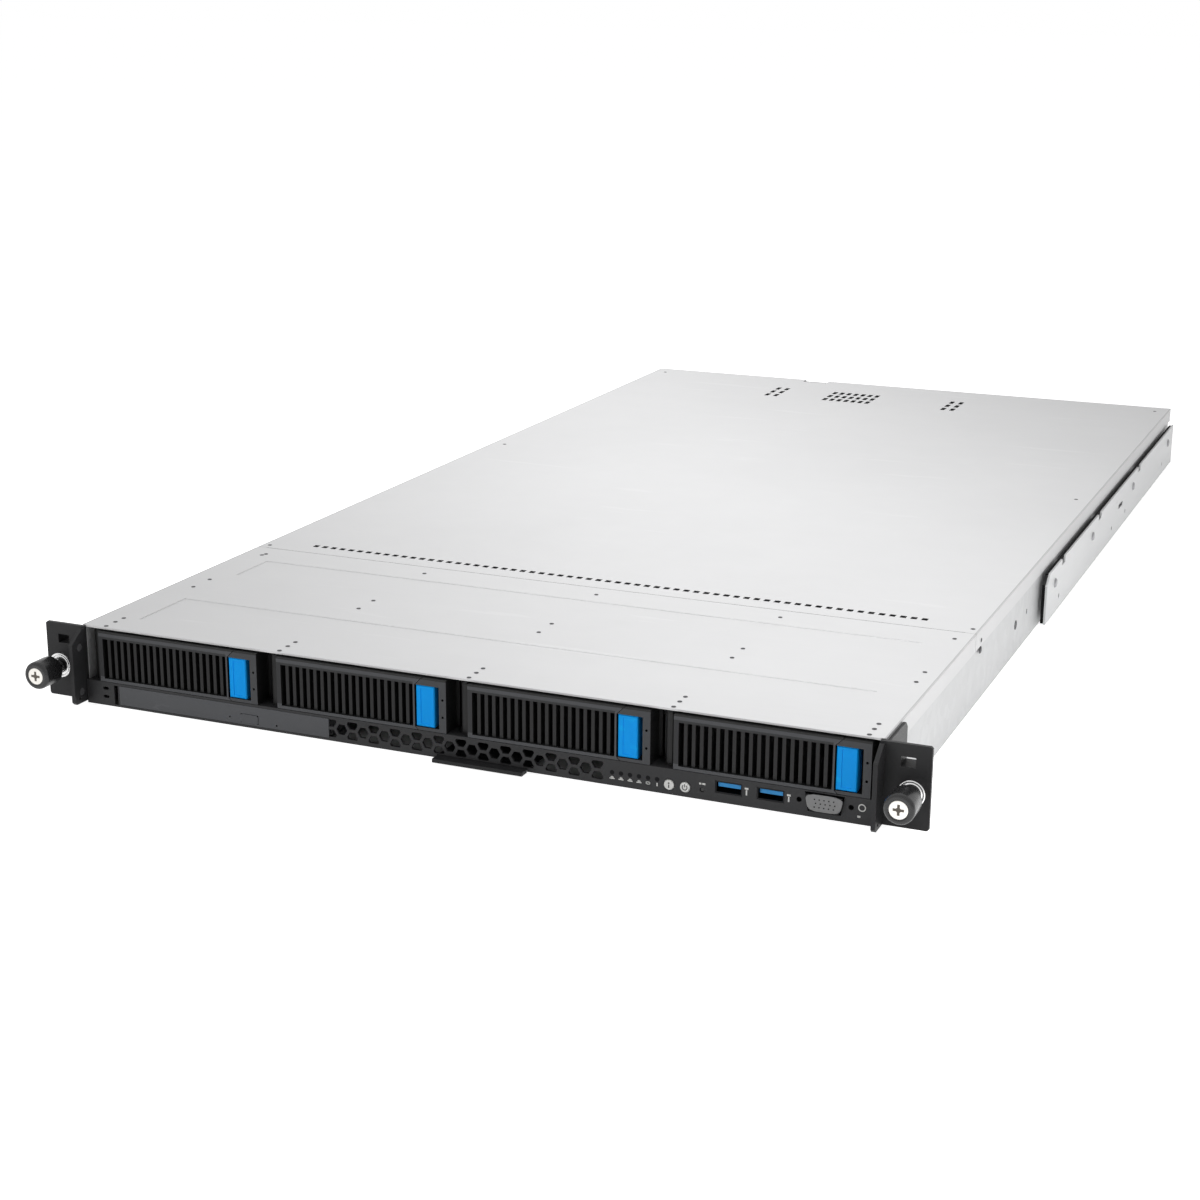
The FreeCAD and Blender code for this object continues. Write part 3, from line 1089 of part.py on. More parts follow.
def build_motherboard():
    """Main board with memory sockets and the larger parts soldered to it."""
    body = new_body("motherboard")
    half = f"({PAN_IN} - 2)"
    step = f"({SUPPLY_LEFT} - 3)"
    pad(body, "XY", "main_z", MAIN_TOP, [
        (f"-{half}", "main_front"), (half, "main_front"), (half, f"{SUPPLY_FRONT} - 14"),
        (step, f"{SUPPLY_FRONT} - 14"), (step, "main_back"), (f"-{half}", "main_back")])
    for start in BANKS:
        bar = pad(body, "XY", f"{MAIN_TOP} - 0.2", f"{MAIN_TOP} + 3", rect(
            f"{start} - 1.6", "main_front + 42", f"{start} + 1.6", "main_front + 48 + module_length"))
        repeat(body, [bar], "X", "bank_count", "module_pitch")
    chips = [rect("-60", "main_back - 226", "-30", "main_back - 196"),
             rect("10", "main_back - 136", "34", "main_back - 112"),
             rect("-190", "main_front + 200", "-130", "main_front + 212"),
             rect("60", "main_front + 200", "120", "main_front + 212"),
             rect("-80", "main_back - 86", "-50", "main_back - 74")]
    pad(body, "XY", f"{MAIN_TOP} - 0.2", f"{MAIN_TOP} + 6", *chips)
    return body


def build_memory_modules():
    """Four banks of upright memory modules."""
    modules = []
    for start in BANKS:
        for number in range(round(size("bank_count"))):
            x = f"({start} + {number} * module_pitch)"
            modules.append(box(f"{x} - 0.6", "main_front + 45", f"{MAIN_TOP} + 3", f"{x} + 0.6",
                               "main_front + 45 + module_length", f"{MAIN_TOP} + module_height"))
    return group("memory_modules", modules)


def build_heat_sinks():
    """Two finned heat sinks, each on its contact block over a processor."""
    sinks = []
    for number, centre in enumerate(("7.3 - inside_half / 2", "0.7 + inside_half / 2"), start=1):
        body = new_body(f"heat_sink_{number}", centre, "main_front + 108")
        half = "sink_side / 2"
        pad(body, "XY", MAIN_TOP, f"{MAIN_TOP} + 5", rect("-30", "-30", "30", "30"))
        pad(body, "XY", f"{MAIN_TOP} + 4.5", f"{MAIN_TOP} + 8", rect(f"-{half}", "-55", half, "55"))
        fin = pad(body, "XY", f"{MAIN_TOP} + 7.8", f"{PAN_TOP} - 1",
                  rect(f"-{half}", "-55", f"-{half} + fin_thickness", "55"))
        repeat(body, [fin], "X", "sink_fins", "(sink_side - fin_thickness) / (sink_fins - 1)")
        sinks.append(body)
    return group("heat_sinks", sinks)


def build_riser():
    """Riser for one expansion card: a sheet bracket with an upright board and its slot."""
    left = "(2.4 - inside_half)"
    right = "(rear_x - 94.4)"
    high = f"({PAN_TOP} - 2.8)"
    pieces = [box(f"{right} - 1.6", "main_back - 126", MAIN_TOP, right, "main_back", high),
              box(f"{right} - 9.6", "main_back - 116", "24", f"{right} - 1.1", "main_back - 26", "32"),
              box(left, "main_back + 8", "19.5", right, "main_back + 9", high),
              box(f"{right} - 1.6", "main_back - 1", "19.5", right, "main_back + 9", high)]
    return join("riser_card", pieces)


def build_rear_ports():
    """Shells of the two network jacks, the USB stack and the display port at the rear."""
    ports = []
    front = "main_back - 17"
    back = "body_depth + 0.6"
    for number, x in enumerate(("rear_x - 22", "rear_x - 2"), start=1):
        body = new_body(f"network_jack_{number}", x, "0", MAIN_TOP)
        pad(body, "XZ", front, back, rect("-8", "0", "8", "13.5"))
        pocket(body, "XZ", f"{back} - 14", f"{back} + 1", [
            ("-5.9", "1.6"), ("5.9", "1.6"), ("5.9", "8.4"), ("3.2", "8.4"), ("3.2", "11.4"), ("-3.2", "11.4"),
            ("-3.2", "8.4"), ("-5.9", "8.4")])
        ports.append(body)
    body = new_body("usb_stack", "rear_x + 19", "0", MAIN_TOP)
    pad(body, "XZ", front, back, rect("-7", "0", "7", "15"))
    gaps = [rect("-6.2", low, "6.2", high)
            for low, high in (("1", "2.6"), ("4.2", "6.2"), ("8.8", "10.4"), ("12", "14"))]
    pocket(body, "XZ", f"{back} - 10", f"{back} + 1", *gaps)
    ports.append(body)
    body = new_body("rear_display_port", "rear_x + 39", "0", MAIN_TOP)
    pad(body, "XZ", front, back, rect("-8", "0", "8", "10"))
    pocket(body, "XZ", f"{back} - 5", f"{back} + 1", rect("-7", "1.4", "7", "2.6"), rect("-7", "6.4", "7", "8.4"))
    ports.append(body)
    return group("rear_ports", ports)


def build_power_supply(number):
    """Hot-plug supply: a sheet box with an air grille, a mains inlet, a release tab and a loop handle."""
    left = f"{SUPPLY_LEFT} + {number - 1} * {SUPPLY_PITCH} + supply_gap"
    body = new_body(f"power_supply_{number}", left, SUPPLY_FRONT, "pan_sheet + 0.2")
    end = "supply_length"
    pad(body, "XY", "0", "supply_height", rect("0", "0", "supply_width", end))
    pocket(body, "XZ", "-1", f"{end} - 18",
           rect("supply_wall", "supply_wall", "supply_width - supply_wall", "supply_height - supply_wall"))
    pad(body, "XZ", "-9", f"{end} - 17", rect("12", "6", "62", "6 + board_sheet"))
    grille = pocket(body, "XZ", f"{end} - 4", f"{end} + 1", rect("4", "5", "6.4", "35"))
    repeat(body, [grille], "X", "9", "4.2")
    pocket(body, "XZ", f"{end} - 14", f"{end} + 1", rect("45", "3", "70", "20"))
    pad(body, "XZ", f"{end} - 14.5", f"{end} - 4", rect("50", "8", "52", "12"), rect("56.5", "11", "58.5", "15"),
        rect("63", "8", "65", "12"))
    pad(body, "XZ", f"{end} - 0.5", f"{end} + 9", rect("46", "31", "68", "33.4"))
    pad(body, "YZ", "8", "12", [
        (f"{end} - 0.5", "2"), (f"{end} + 24", "2"), (f"{end} + 24", "34"), (f"{end} - 0.5", "34"),
        (f"{end} - 0.5", "31"), (f"{end} + 21", "31"), (f"{end} + 21", "5"), (f"{end} - 0.5", "5")])
    return body


# ---------------------------------------------------------------- the whole server
def build_all():
    """Build every sub-part, in the order in which the server is put together."""
    parts = [build_chassis_base(), build_drive_cage(), build_front_cover(), build_rear_cover(),
             build_cover_rivets(), build_front_panel(), build_rear_panel()]
    ear = build_rack_ear()
    parts += [ear, mirrored("rack_ear_left", ear), build_ear_screws(), build_collars()]
    for label, side in (("left", "-1"), ("right", "1")):
        parts += [build_rack_screw(f"rack_screw_{label}", side), build_retainer(f"screw_retainer_{label}", side)]
    for number in range(1, 5):
        parts += [build_tray(number), build_lever(number), build_latch(number), build_hard_drive(number)]
    parts += [build_backplane(), build_optical_case(), build_optical_tray(), build_eject_button()]
    parts += [build_round_button("locate_button", "locate_x"), build_round_button("power_button", "power_x"),
              build_reset_button()]
    parts += [build_lamp_lenses(), build_control_board(), build_port_shells(), build_usb_tongues(),
              build_display_insert(), build_tag()]
    rail = build_side_rail()
    parts += [rail, mirrored("side_rail_left", rail), build_fan_frames()]
    parts += [build_fan_rotor(number) for number in range(1, 7)]
    parts += [build_motherboard(), build_memory_modules(), build_heat_sinks(), build_riser(), build_rear_ports()]
    parts += [build_power_supply(number) for number in (1, 2)]
    return parts


def check(parts):
    """Stop if anything failed to build, or if a cut or an addition changed nothing."""
    for thing in document.Objects:
        if "Invalid" in thing.State or "Error" in thing.State:
            raise RuntimeError(f"{thing.Label} ({thing.Name}) failed: {thing.State}")
        if thing.TypeId in ("PartDesign::Pocket", "PartDesign::Pad") and thing.BaseFeature:
            change = thing.Shape.Volume - thing.BaseFeature.Shape.Volume
            wanted = 1 if thing.TypeId == "PartDesign::Pad" else -1
            if change * wanted < 0.001:
                raise RuntimeError(f"{thing.Name} in {thing.getParent()} changed nothing")
    for part in parts:
        if part.Shape.isNull() or not part.Shape.isValid():
            raise RuntimeError(f"{part.Label} has no valid shape")


def export(parts):
    """Write each sub-part to its own file."""
    os.makedirs("parts", exist_ok=True)
    for part in parts:
        part.Shape.exportStep(f"parts/{part.Label}.step")


PARTS = build_all()
document.recompute()
check(PARTS)
export(PARTS)
print(len(PARTS), "sub-parts,", sum(len(part.Shape.Solids) for part in PARTS), "solids")
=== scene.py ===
"""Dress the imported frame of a 1U rack server: finishes for every sub-part, fine pieces that ride on it, and a studio.

Laid out as a Blender add-on, with one operator for each group of pieces. Everything is in metres in the
frame's own axes: +X to the right seen from the front, +Y to the rear, +Z up.
"""
import math

import bmesh
import bpy
import numpy as np
from mathutils import Matrix, Vector


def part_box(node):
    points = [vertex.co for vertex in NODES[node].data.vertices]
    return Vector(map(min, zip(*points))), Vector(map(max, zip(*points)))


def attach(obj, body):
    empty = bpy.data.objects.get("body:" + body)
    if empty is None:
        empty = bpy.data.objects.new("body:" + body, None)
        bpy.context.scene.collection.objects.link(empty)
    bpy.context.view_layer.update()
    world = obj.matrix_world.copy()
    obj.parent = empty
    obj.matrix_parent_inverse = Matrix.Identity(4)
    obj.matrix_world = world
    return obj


bl_info = {
    "name": "Rack Server Finish",
    "version": (1, 0, 0),
    "blender": (4, 5, 0),
    "location": "View3D > Sidebar > Rack Server",
    "description": "Finishes and fine pieces for a packed rack server",
    "category": "Object",
}

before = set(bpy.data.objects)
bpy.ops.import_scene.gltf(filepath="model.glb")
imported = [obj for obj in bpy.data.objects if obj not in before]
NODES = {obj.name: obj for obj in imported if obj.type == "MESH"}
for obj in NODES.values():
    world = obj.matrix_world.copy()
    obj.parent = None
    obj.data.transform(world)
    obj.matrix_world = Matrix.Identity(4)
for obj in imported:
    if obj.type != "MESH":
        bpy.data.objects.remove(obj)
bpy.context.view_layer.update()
MM = 0.001
SIDES = ("left", "right")
MATERIALS = {}
GROUPS = {}


# ---------------------------------------------------------------- places read from the frame
def middle(node):
    """The centre of a node's box."""
    low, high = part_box(node)
    return (low + high) / 2


def numbered(prefix, count):
    """The names of a family of nodes that differ by a number."""
    return [f"{prefix}_{number}" for number in range(1, count + 1)]


TRAYS = numbered("drive_tray", 4)
LEVERS = numbered("tray_lever", 4)
LATCHES = numbered("tray_latch", 4)
DRIVES = numbered("hard_drive", 4)
ROTORS = numbered("fan_rotor", 6)
SUPPLIES = numbered("power_supply", 2)


# ---------------------------------------------------------------- settings
def color_setting(name, description, default):
    """A colour among the settings."""
    return bpy.props.FloatVectorProperty(name=name, description=description, subtype="COLOR", size=3, min=0, max=1,
                                         default=default)


class FinishSettings(bpy.types.PropertyGroup):
    """Colours and surface values of the server's finishes."""

    cover_color: color_setting("Cover", "Colour of the covers' satin steel", (0.64, 0.64, 0.645))
    steel_color: color_setting("Chassis steel", "Colour of the zinc-plated chassis sheet", (0.60, 0.605, 0.61))
    lever_color: color_setting("Levers", "Colour of the tray levers and bezels", (0.040, 0.041, 0.044))
    black_color: color_setting("Black parts", "Colour of the painted front, ears and knobs", (0.022, 0.022, 0.023))
    latch_color: color_setting("Latches", "Colour of the tray latches", (0.0, 0.32, 0.86))
    board_color: color_setting("Boards", "Colour of the circuit boards", (0.012, 0.085, 0.035))
    cover_roughness: bpy.props.FloatProperty(
        name="Cover roughness", description="Roughness of the covers' satin steel", min=0, max=1, default=0.38)


class StageSettings(bpy.types.PropertyGroup):
    """Camera and lamps."""

    lens: bpy.props.FloatProperty(
        name="Focal length", description="Focal length of the camera", subtype="DISTANCE_CAMERA", min=20,
        default=64.21)
    position: bpy.props.FloatVectorProperty(
        name="Camera", description="Place of the camera", subtype="TRANSLATION", unit="LENGTH", size=3,
        default=(0.453097, -0.892611, 0.374931))
    azimuth: bpy.props.FloatProperty(
        name="Azimuth", description="Camera's turn to the right of the server's front", subtype="ANGLE",
        default=math.radians(22.7983))
    elevation: bpy.props.FloatProperty(
        name="Elevation", description="Camera's tilt down", subtype="ANGLE", default=math.radians(16.3085))
    roll: bpy.props.FloatProperty(
        name="Roll", description="Camera's turn about its own axis", subtype="ANGLE", default=math.radians(0.3456))
    lamp_level: bpy.props.FloatProperty(
        name="Lamp level", description="Factor on the strength of all lamps", min=0, default=1.0)


# ---------------------------------------------------------------- meshes from arrays
def add_piece(name, vertices, faces, body, key, slot, smooth=True):
    """Put arrays into a mesh object with one of the MATERIALS, riding on a body of the frame."""
    mesh = bpy.data.meshes.new(name)
    mesh.from_pydata(np.asarray(vertices, float).tolist(), [], [list(face) for face in faces])
    mesh.validate()
    mesh.update()
    mesh.polygons.foreach_set("use_smooth", [smooth] * len(mesh.polygons))
    piece = bpy.data.objects.new(name, mesh)
    bpy.context.scene.collection.objects.link(piece)
    piece.data.materials.append(MATERIALS[key])
    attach(piece, body)
    return piece


def add_parts(name, parts, body, key, slot, smooth=True):
    """One piece from several pairs of vertices and faces."""
    return add_piece(name, *join_grids(parts), body, key, slot, smooth)


def add_blocks(name, boxes, body, key, slot):
    """One piece of flat-sided blocks, given by their lowest and highest corners in millimetres."""
    return add_piece(name, *slabs(np.array(boxes) * MM), body, key, slot, smooth=False)


def add_pair(name, parts, key, slot, smooth=True):
    """A closed piece at the right side of the chassis, and the same with X turned round at the left."""
    points, faces = join_grids(parts)
    for side, place in (("right", points), ("left", points * np.array([-1.0, 1.0, 1.0]))):
        face_outward(add_piece(f"{name}_{side}", place, faces, "chassis", key, slot, smooth))


def at(x, y, z):
    """A place given in millimetres."""
    return np.array((x, y, z)) * MM


def grid_faces(rows, columns, closed_columns=False):
    """Quads of a grid of points; the columns may close into a ring."""
    last = columns if closed_columns else columns - 1
    row, column = np.meshgrid(np.arange(rows - 1), np.arange(last), indexing="ij")
    following = (column + 1) % columns
    return np.stack([row * columns + column, row * columns + following,
                     (row + 1) * columns + following, (row + 1) * columns + column], -1).reshape(-1, 4)


def join_grids(parts):
    """One vertex array and one face list from several pairs of them."""
    vertices, faces, start = [], [], 0
    for points, quads in parts:
        vertices.append(np.asarray(points, float).reshape(-1, 3))
        faces.extend([tuple(int(index) + start for index in quad) for quad in quads])
        start += len(vertices[-1])
    return np.vstack(vertices), faces


def turned(profile, centre, steps=48, axis="y"):
    """A surface of revolution.

    Each (height, radius) pair of the profile becomes a ring: centre + height along the axis + radius times
    (cos a, sin a) across it, for steps even angles a. A radius near zero closes the end.
    """
    profile = np.asarray(profile, float)
    angle = np.linspace(0, 2 * math.pi, steps, endpoint=False)
    height = np.repeat(profile[:, :1], steps, 1)
    across = profile[:, 1:] * np.cos(angle)
    beside = profile[:, 1:] * np.sin(angle)
    order = {"x": (height, across, beside), "y": (beside, height, across), "z": (across, beside, height)}[axis]
    points = np.stack(order, -1) + np.asarray(centre, float)
    return points.reshape(-1, 3), grid_faces(len(profile), steps, True)


def ring(profile, centre, steps=48, axis="y"):
    """A closed ring: the profile is a loop of (height, radius) pairs, turned as in turned()."""
    points, quads = turned(profile, centre, steps, axis)
    rows = len(profile)
    column = np.arange(steps)
    following = (column + 1) % steps
    last = (rows - 1) * steps
    closing = np.stack([last + column, last + following, following, column], -1)
    return points, np.vstack([quads, closing])


def slabs(boxes):
    """Many small blocks at once.

    Each row of boxes holds the lowest and the highest corner; corner number n of a block takes the high value
    of X, Y or Z where bit 0, 1 or 2 of n is set.
    """
    boxes = np.asarray(boxes, float).reshape(-1, 2, 3)
    bits = np.array([[(number >> axis) & 1 for axis in range(3)] for number in range(8)])
    points = boxes[:, bits, np.arange(3)]
    sides = np.array([[0, 4, 6, 2], [1, 3, 7, 5], [0, 1, 5, 4], [2, 6, 7, 3], [0, 2, 3, 1], [4, 5, 7, 6]])
    faces = (np.arange(len(boxes))[:, None, None] * 8 + sides[None]).reshape(-1, 4)
    return points.reshape(-1, 3), faces


def face_outward(piece):
    """Merge doubles and recalculate the normals of a closed piece."""
    work = bmesh.new()
    work.from_mesh(piece.data)
    bmesh.ops.remove_doubles(work, verts=work.verts, dist=1e-7)
    bmesh.ops.recalc_face_normals(work, faces=work.faces)
    work.to_mesh(piece.data)
    work.free()
    return piece


def soften(piece, width, segments=2):
    """A bevel on a piece's sharp edges."""
    bevel = piece.modifiers.new("edges", "BEVEL")
    bevel.width = width
    bevel.segments = segments
    bevel.limit_method = "ANGLE"
    return piece


def box_mm(node):
    """A node's lowest and highest corners in millimetres, as arrays."""
    low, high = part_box(node)
    return np.array(low) / MM, np.array(high) / MM


# ---------------------------------------------------------------- shader node groups
def shader_node(tree, kind, inputs=None, **settings):
    """A shader node with its settings; each entry of inputs is a socket to link or a value to set."""
    node = tree.nodes.new("ShaderNode" + kind)
    for label, value in settings.items():
        setattr(node, label, value)
    for label, value in (inputs or {}).items():
        if isinstance(value, bpy.types.NodeSocket):
            tree.links.new(value, node.inputs[label])
        else:
            node.inputs[label].default_value = value
    return node


def new_group(name, inputs, outputs):
    """A shader node group with vector inputs and their defaults: its tree, and what enters and leaves it."""
    tree = bpy.data.node_groups.new(name, "ShaderNodeTree")
    for label, default in inputs.items():
        tree.interface.new_socket(label, in_out="INPUT", socket_type="NodeSocketVector").default_value = default
    for label in outputs:
        tree.interface.new_socket(label, in_out="OUTPUT", socket_type="NodeSocketFloat")
    return tree, tree.nodes.new("NodeGroupInput").outputs, tree.nodes.new("NodeGroupOutput").inputs


def stretched_group(name, stretch, outputs):
    """A group with one input, Stretch: its tree, the object coordinates times Stretch, and what leaves it."""
    tree, entry, leave = new_group(name, {"Stretch": stretch}, outputs)
    vector = shader_node(tree, "VectorMath", {0: coordinates(tree), 1: entry["Stretch"]}, operation="MULTIPLY")
    return tree, vector.outputs[0], leave


def coordinates(tree):
    """Object coordinates."""
    return shader_node(tree, "TexCoord").outputs["Object"]


def parts_of(tree, vector):
    """The X, Y and Z of a vector."""
    return shader_node(tree, "SeparateXYZ", {0: vector}).outputs


def noise(tree, vector, scale, detail, rough=0.55):
    """A noise texture on a vector."""
    values = {"Scale": scale, "Detail": detail, "Roughness": rough, "Vector": vector}
    return shader_node(tree, "TexNoise", values).outputs["Fac"]


def cells(tree, vector, scale):
    """A cell texture on a vector."""
    return shader_node(tree, "TexVoronoi", {"Scale": scale, "Vector": vector}).outputs


def spread(tree, value, low, high, out_low=0.0, out_high=1.0):
    """Map a value's range to another range, clamped."""
    return shader_node(tree, "MapRange", {0: value, 1: low, 2: high, 3: out_low, 4: out_high}).outputs[0]


def step(tree, operation, *values):
    """A math node on sockets or numbers."""
    return shader_node(tree, "Math", dict(enumerate(values)), operation=operation).outputs[0]


def product(tree, *values):
    """The first value times the second, times the product of the rest if there are more."""
    pairs = [step(tree, "MULTIPLY", *values[start:start + 2]) for start in range(0, len(values), 2)]
    return pairs[0] if len(pairs) == 1 else step(tree, "MULTIPLY", *pairs)


def group_brushed():
    """Fine streaks: noise on coordinates stretched along the brushing, as a mask and a height."""
    tree, vector, leave = stretched_group("brushed_streaks", (12.0, 900.0, 900.0), ["Mask", "Height"])
    fine = noise(tree, vector, 1.0, 4.0)
    tree.links.new(spread(tree, fine, 0.3, 0.7), leave["Mask"])
    tree.links.new(fine, leave["Height"])
    return tree


def group_cloud():
    """Slow patches of tone over a whole panel: a low noise blended with a finer one."""
    tree, vector, leave = stretched_group("slow_patches", (6.0, 6.0, 6.0), ["Mask"])
    layers = {"Factor": 0.3, "A": noise(tree, vector, 1.0, 2.0), "B": noise(tree, vector, 9.0, 3.0)}
    blend = shader_node(tree, "Mix", layers)
    tree.links.new(spread(tree, blend.outputs[0], 0.32, 0.68), leave["Mask"])
    return tree


def group_pebble():
    """Fine moulded or sprayed texture: cells and noise at under a millimetre, as a height and a mask."""
    tree, vector, leave = stretched_group("fine_pebble", (1400.0, 1400.0, 1400.0), ["Height", "Mask"])
    grain = noise(tree, vector, 1.0, 3.0, 0.6)
    height = step(tree, "MULTIPLY_ADD", cells(tree, vector, 0.8)["Distance"], 0.5, grain)
    tree.links.new(height, leave["Height"])
    tree.links.new(spread(tree, grain, 0.35, 0.65), leave["Mask"])
    return tree


def group_scuffs():
    """Sparse thin scratches: the crests of a stretched noise, kept as narrow lines."""
    tree, vector, leave = stretched_group("sparse_scuffs", (9.0, 90.0, 60.0), ["Mask"])
    tree.links.new(spread(tree, noise(tree, vector, 1.0, 5.0, 0.5), 0.66, 0.70), leave["Mask"])
    return tree


def group_plating():
    """Zinc crystals: large cells with a slightly different tone each, as a mask."""
    tree, vector, leave = stretched_group("zinc_crystals", (160.0, 160.0, 160.0), ["Mask"])
    tone = shader_node(tree, "SeparateColor", {0: cells(tree, vector, 1.0)["Color"]})
    tree.links.new(tone.outputs[0], leave["Mask"])
    return tree


def group_traces():
    """Copper traces under solder mask: a brick pattern's mortar lines and small round pads, as two masks."""
    tree, vector, leave = stretched_group("board_traces", (260.0, 260.0, 260.0), ["Lines", "Pads"])
    bricks = shader_node(tree, "TexBrick", {"Scale": 1.0, "Mortar Size": 0.06, "Brick Width": 1.7,
                                            "Row Height": 0.35, "Vector": vector})
    tree.links.new(bricks.outputs["Fac"], leave["Lines"])
    tree.links.new(spread(tree, cells(tree, vector, 0.7)["Distance"], 0.16, 0.12), leave["Pads"])
    return tree


def group_cut_edges():
    """Raw punched edges and slot walls, made near black with painted shade: one where a face stands upright and lies
    inside the sheet's outline, as a mask.

    Inside holds the outline's half width along X and its front and rear ends along Y.
    """
    tree, entry, leave = new_group("cut_edges", {"Inside": (0.21, 0.0, 0.0)}, ["Mask"])
    normal = parts_of(tree, shader_node(tree, "NewGeometry").outputs["True Normal"])
    place, limit = parts_of(tree, coordinates(tree)), parts_of(tree, entry["Inside"])
    upright = step(tree, "LESS_THAN", step(tree, "ABSOLUTE", normal["Z"]), 0.5)
    across = step(tree, "LESS_THAN", step(tree, "ABSOLUTE", place["X"]), limit["X"])
    behind = step(tree, "GREATER_THAN", place["Y"], limit["Y"])
    before = step(tree, "LESS_THAN", place["Y"], limit["Z"])
    tree.links.new(product(tree, upright, across, behind, before), leave["Mask"])
    return tree


def group_rub():
    """Worn edges with a painted edge highlight: the difference between the true and a rounded normal, broken up by
    noise, as a mask.
    """
    tree, vector, leave = stretched_group("rubbed_edges", (1.0, 1.0, 1.0), ["Mask"])
    bevel = shader_node(tree, "Bevel", {"Radius": 0.0004}, samples=4)
    true_normal = shader_node(tree, "NewGeometry").outputs["True Normal"]
    dot = shader_node(tree, "VectorMath", {0: bevel.outputs[0], 1: true_normal}, operation="DOT_PRODUCT")
    edge = spread(tree, dot.outputs["Value"], 0.98, 0.86)
    grain = spread(tree, noise(tree, vector, 900.0, 3.0), 0.35, 0.6, 0.4, 1.0)
    tree.links.new(product(tree, edge, grain), leave["Mask"])
    return tree


def group_window():
    """A window that repeats along X between two heights, and all that lies behind a depth, as two masks.

    Window holds the window's start, pitch and width along X; Rows holds the two heights and the depth.
    """
    inputs = {"Window": (0.0, 1.0, 0.0), "Rows": (0.0, 1.0, 0.0)}
    tree, entry, leave = new_group("repeated_window", inputs, ["Bars", "Behind"])
    place, window, rows = (parts_of(tree, vector) for vector in (coordinates(tree), entry["Window"], entry["Rows"]))
    shifted = step(tree, "SUBTRACT", place["X"], window["X"])
    inside = step(tree, "LESS_THAN", step(tree, "FLOORED_MODULO", shifted, window["Y"]), window["Z"])
    above = step(tree, "GREATER_THAN", place["Z"], rows["X"])
    below = step(tree, "LESS_THAN", place["Z"], rows["Y"])
    tree.links.new(step(tree, "MULTIPLY", inside, product(tree, above, below)), leave["Bars"])
    tree.links.new(step(tree, "GREATER_THAN", place["Y"], rows["Z"]), leave["Behind"])
    return tree


def build_groups():
    """Make each shared group once."""
    GROUPS.update(brushed=group_brushed(), cloud=group_cloud(), pebble=group_pebble(), scuffs=group_scuffs(),
                  plating=group_plating(), traces=group_traces(), cut=group_cut_edges(), rub=group_rub(),
                  window=group_window())


# ---------------------------------------------------------------- materials
SLOT_SHADE_AREA = (0.213, 0.17, 0.84)  # half width, front and rear of the area in which the cover's upright faces get painted shade
BEND_SHADE_LINE = ((0.2182, 0.4372, 0.0008), (0.0421, 0.0440, 1.0))  # a painted shade line along the cover's bends, as a window and its rows
ANYWHERE = (0.0, 1.0, 0.0)  # a window of no width
# near black for the painted shade and shadow in the bays
BAY_SHADE_BLACK = (0.006, 0.006, 0.006)


def new_material(name, color, roughness, metallic=0.0, **sockets):
    """A material with one Principled BSDF and its constant values."""
    material = bpy.data.materials.new(name)
    material.use_nodes = True
    shader = material.node_tree.nodes["Principled BSDF"]
    shader.inputs["Base Color"].default_value = (*color, 1)
    shader.inputs["Roughness"].default_value = roughness
    shader.inputs["Metallic"].default_value = metallic
    for label, value in sockets.items():
        shader.inputs[label.replace("_", " ")].default_value = value
    return material


def place_group(material, key, *vectors):
    """Put one of the shared groups into a material with its own vectors, and give its outputs."""
    node = shader_node(material.node_tree, "Group", node_tree=GROUPS[key])
    for socket, vector in zip(node.inputs, vectors):
        socket.default_value = vector
    return node.outputs


def vary_color(material, mask, other, amount=1.0):
    """Blend the base colour towards another colour where a mask is high."""
    tree = material.node_tree
    entry = tree.nodes["Principled BSDF"].inputs["Base Color"]
    mix = shader_node(tree, "Mix", data_type="RGBA")
    first, second = [socket for socket in mix.inputs if socket.type == "RGBA"][:2]
    if entry.is_linked:
        tree.links.new(entry.links[0].from_socket, first)
    else:
        first.default_value = entry.default_value
    second.default_value = (*other, 1)
    tree.links.new(step(tree, "MULTIPLY", mask, amount), mix.inputs["Factor"])
    tree.links.new([socket for socket in mix.outputs if socket.type == "RGBA"][0], entry)


def vary_by(material, key, stretch, other, amount=1.0):
    """Blend the base colour towards another by the mask of a shared group."""
    vary_color(material, place_group(material, key, stretch)["Mask"], other, amount)


def vary_roughness(material, mask, low, high):
    """Let a mask move the roughness between two values."""
    tree = material.node_tree
    tree.links.new(spread(tree, mask, 0.0, 1.0, low, high), tree.nodes["Principled BSDF"].inputs["Roughness"])


def add_bump(material, height, distance, strength):
    """A bump of a height socket, its distance in metres."""
    tree = material.node_tree
    bump = shader_node(tree, "Bump", {"Strength": strength, "Distance": distance, "Height": height})
    tree.links.new(bump.outputs["Normal"], tree.nodes["Principled BSDF"].inputs["Normal"])


def tint(color, factor):
    """A colour made lighter or darker."""
    return tuple(min(1.0, channel * factor) for channel in color)


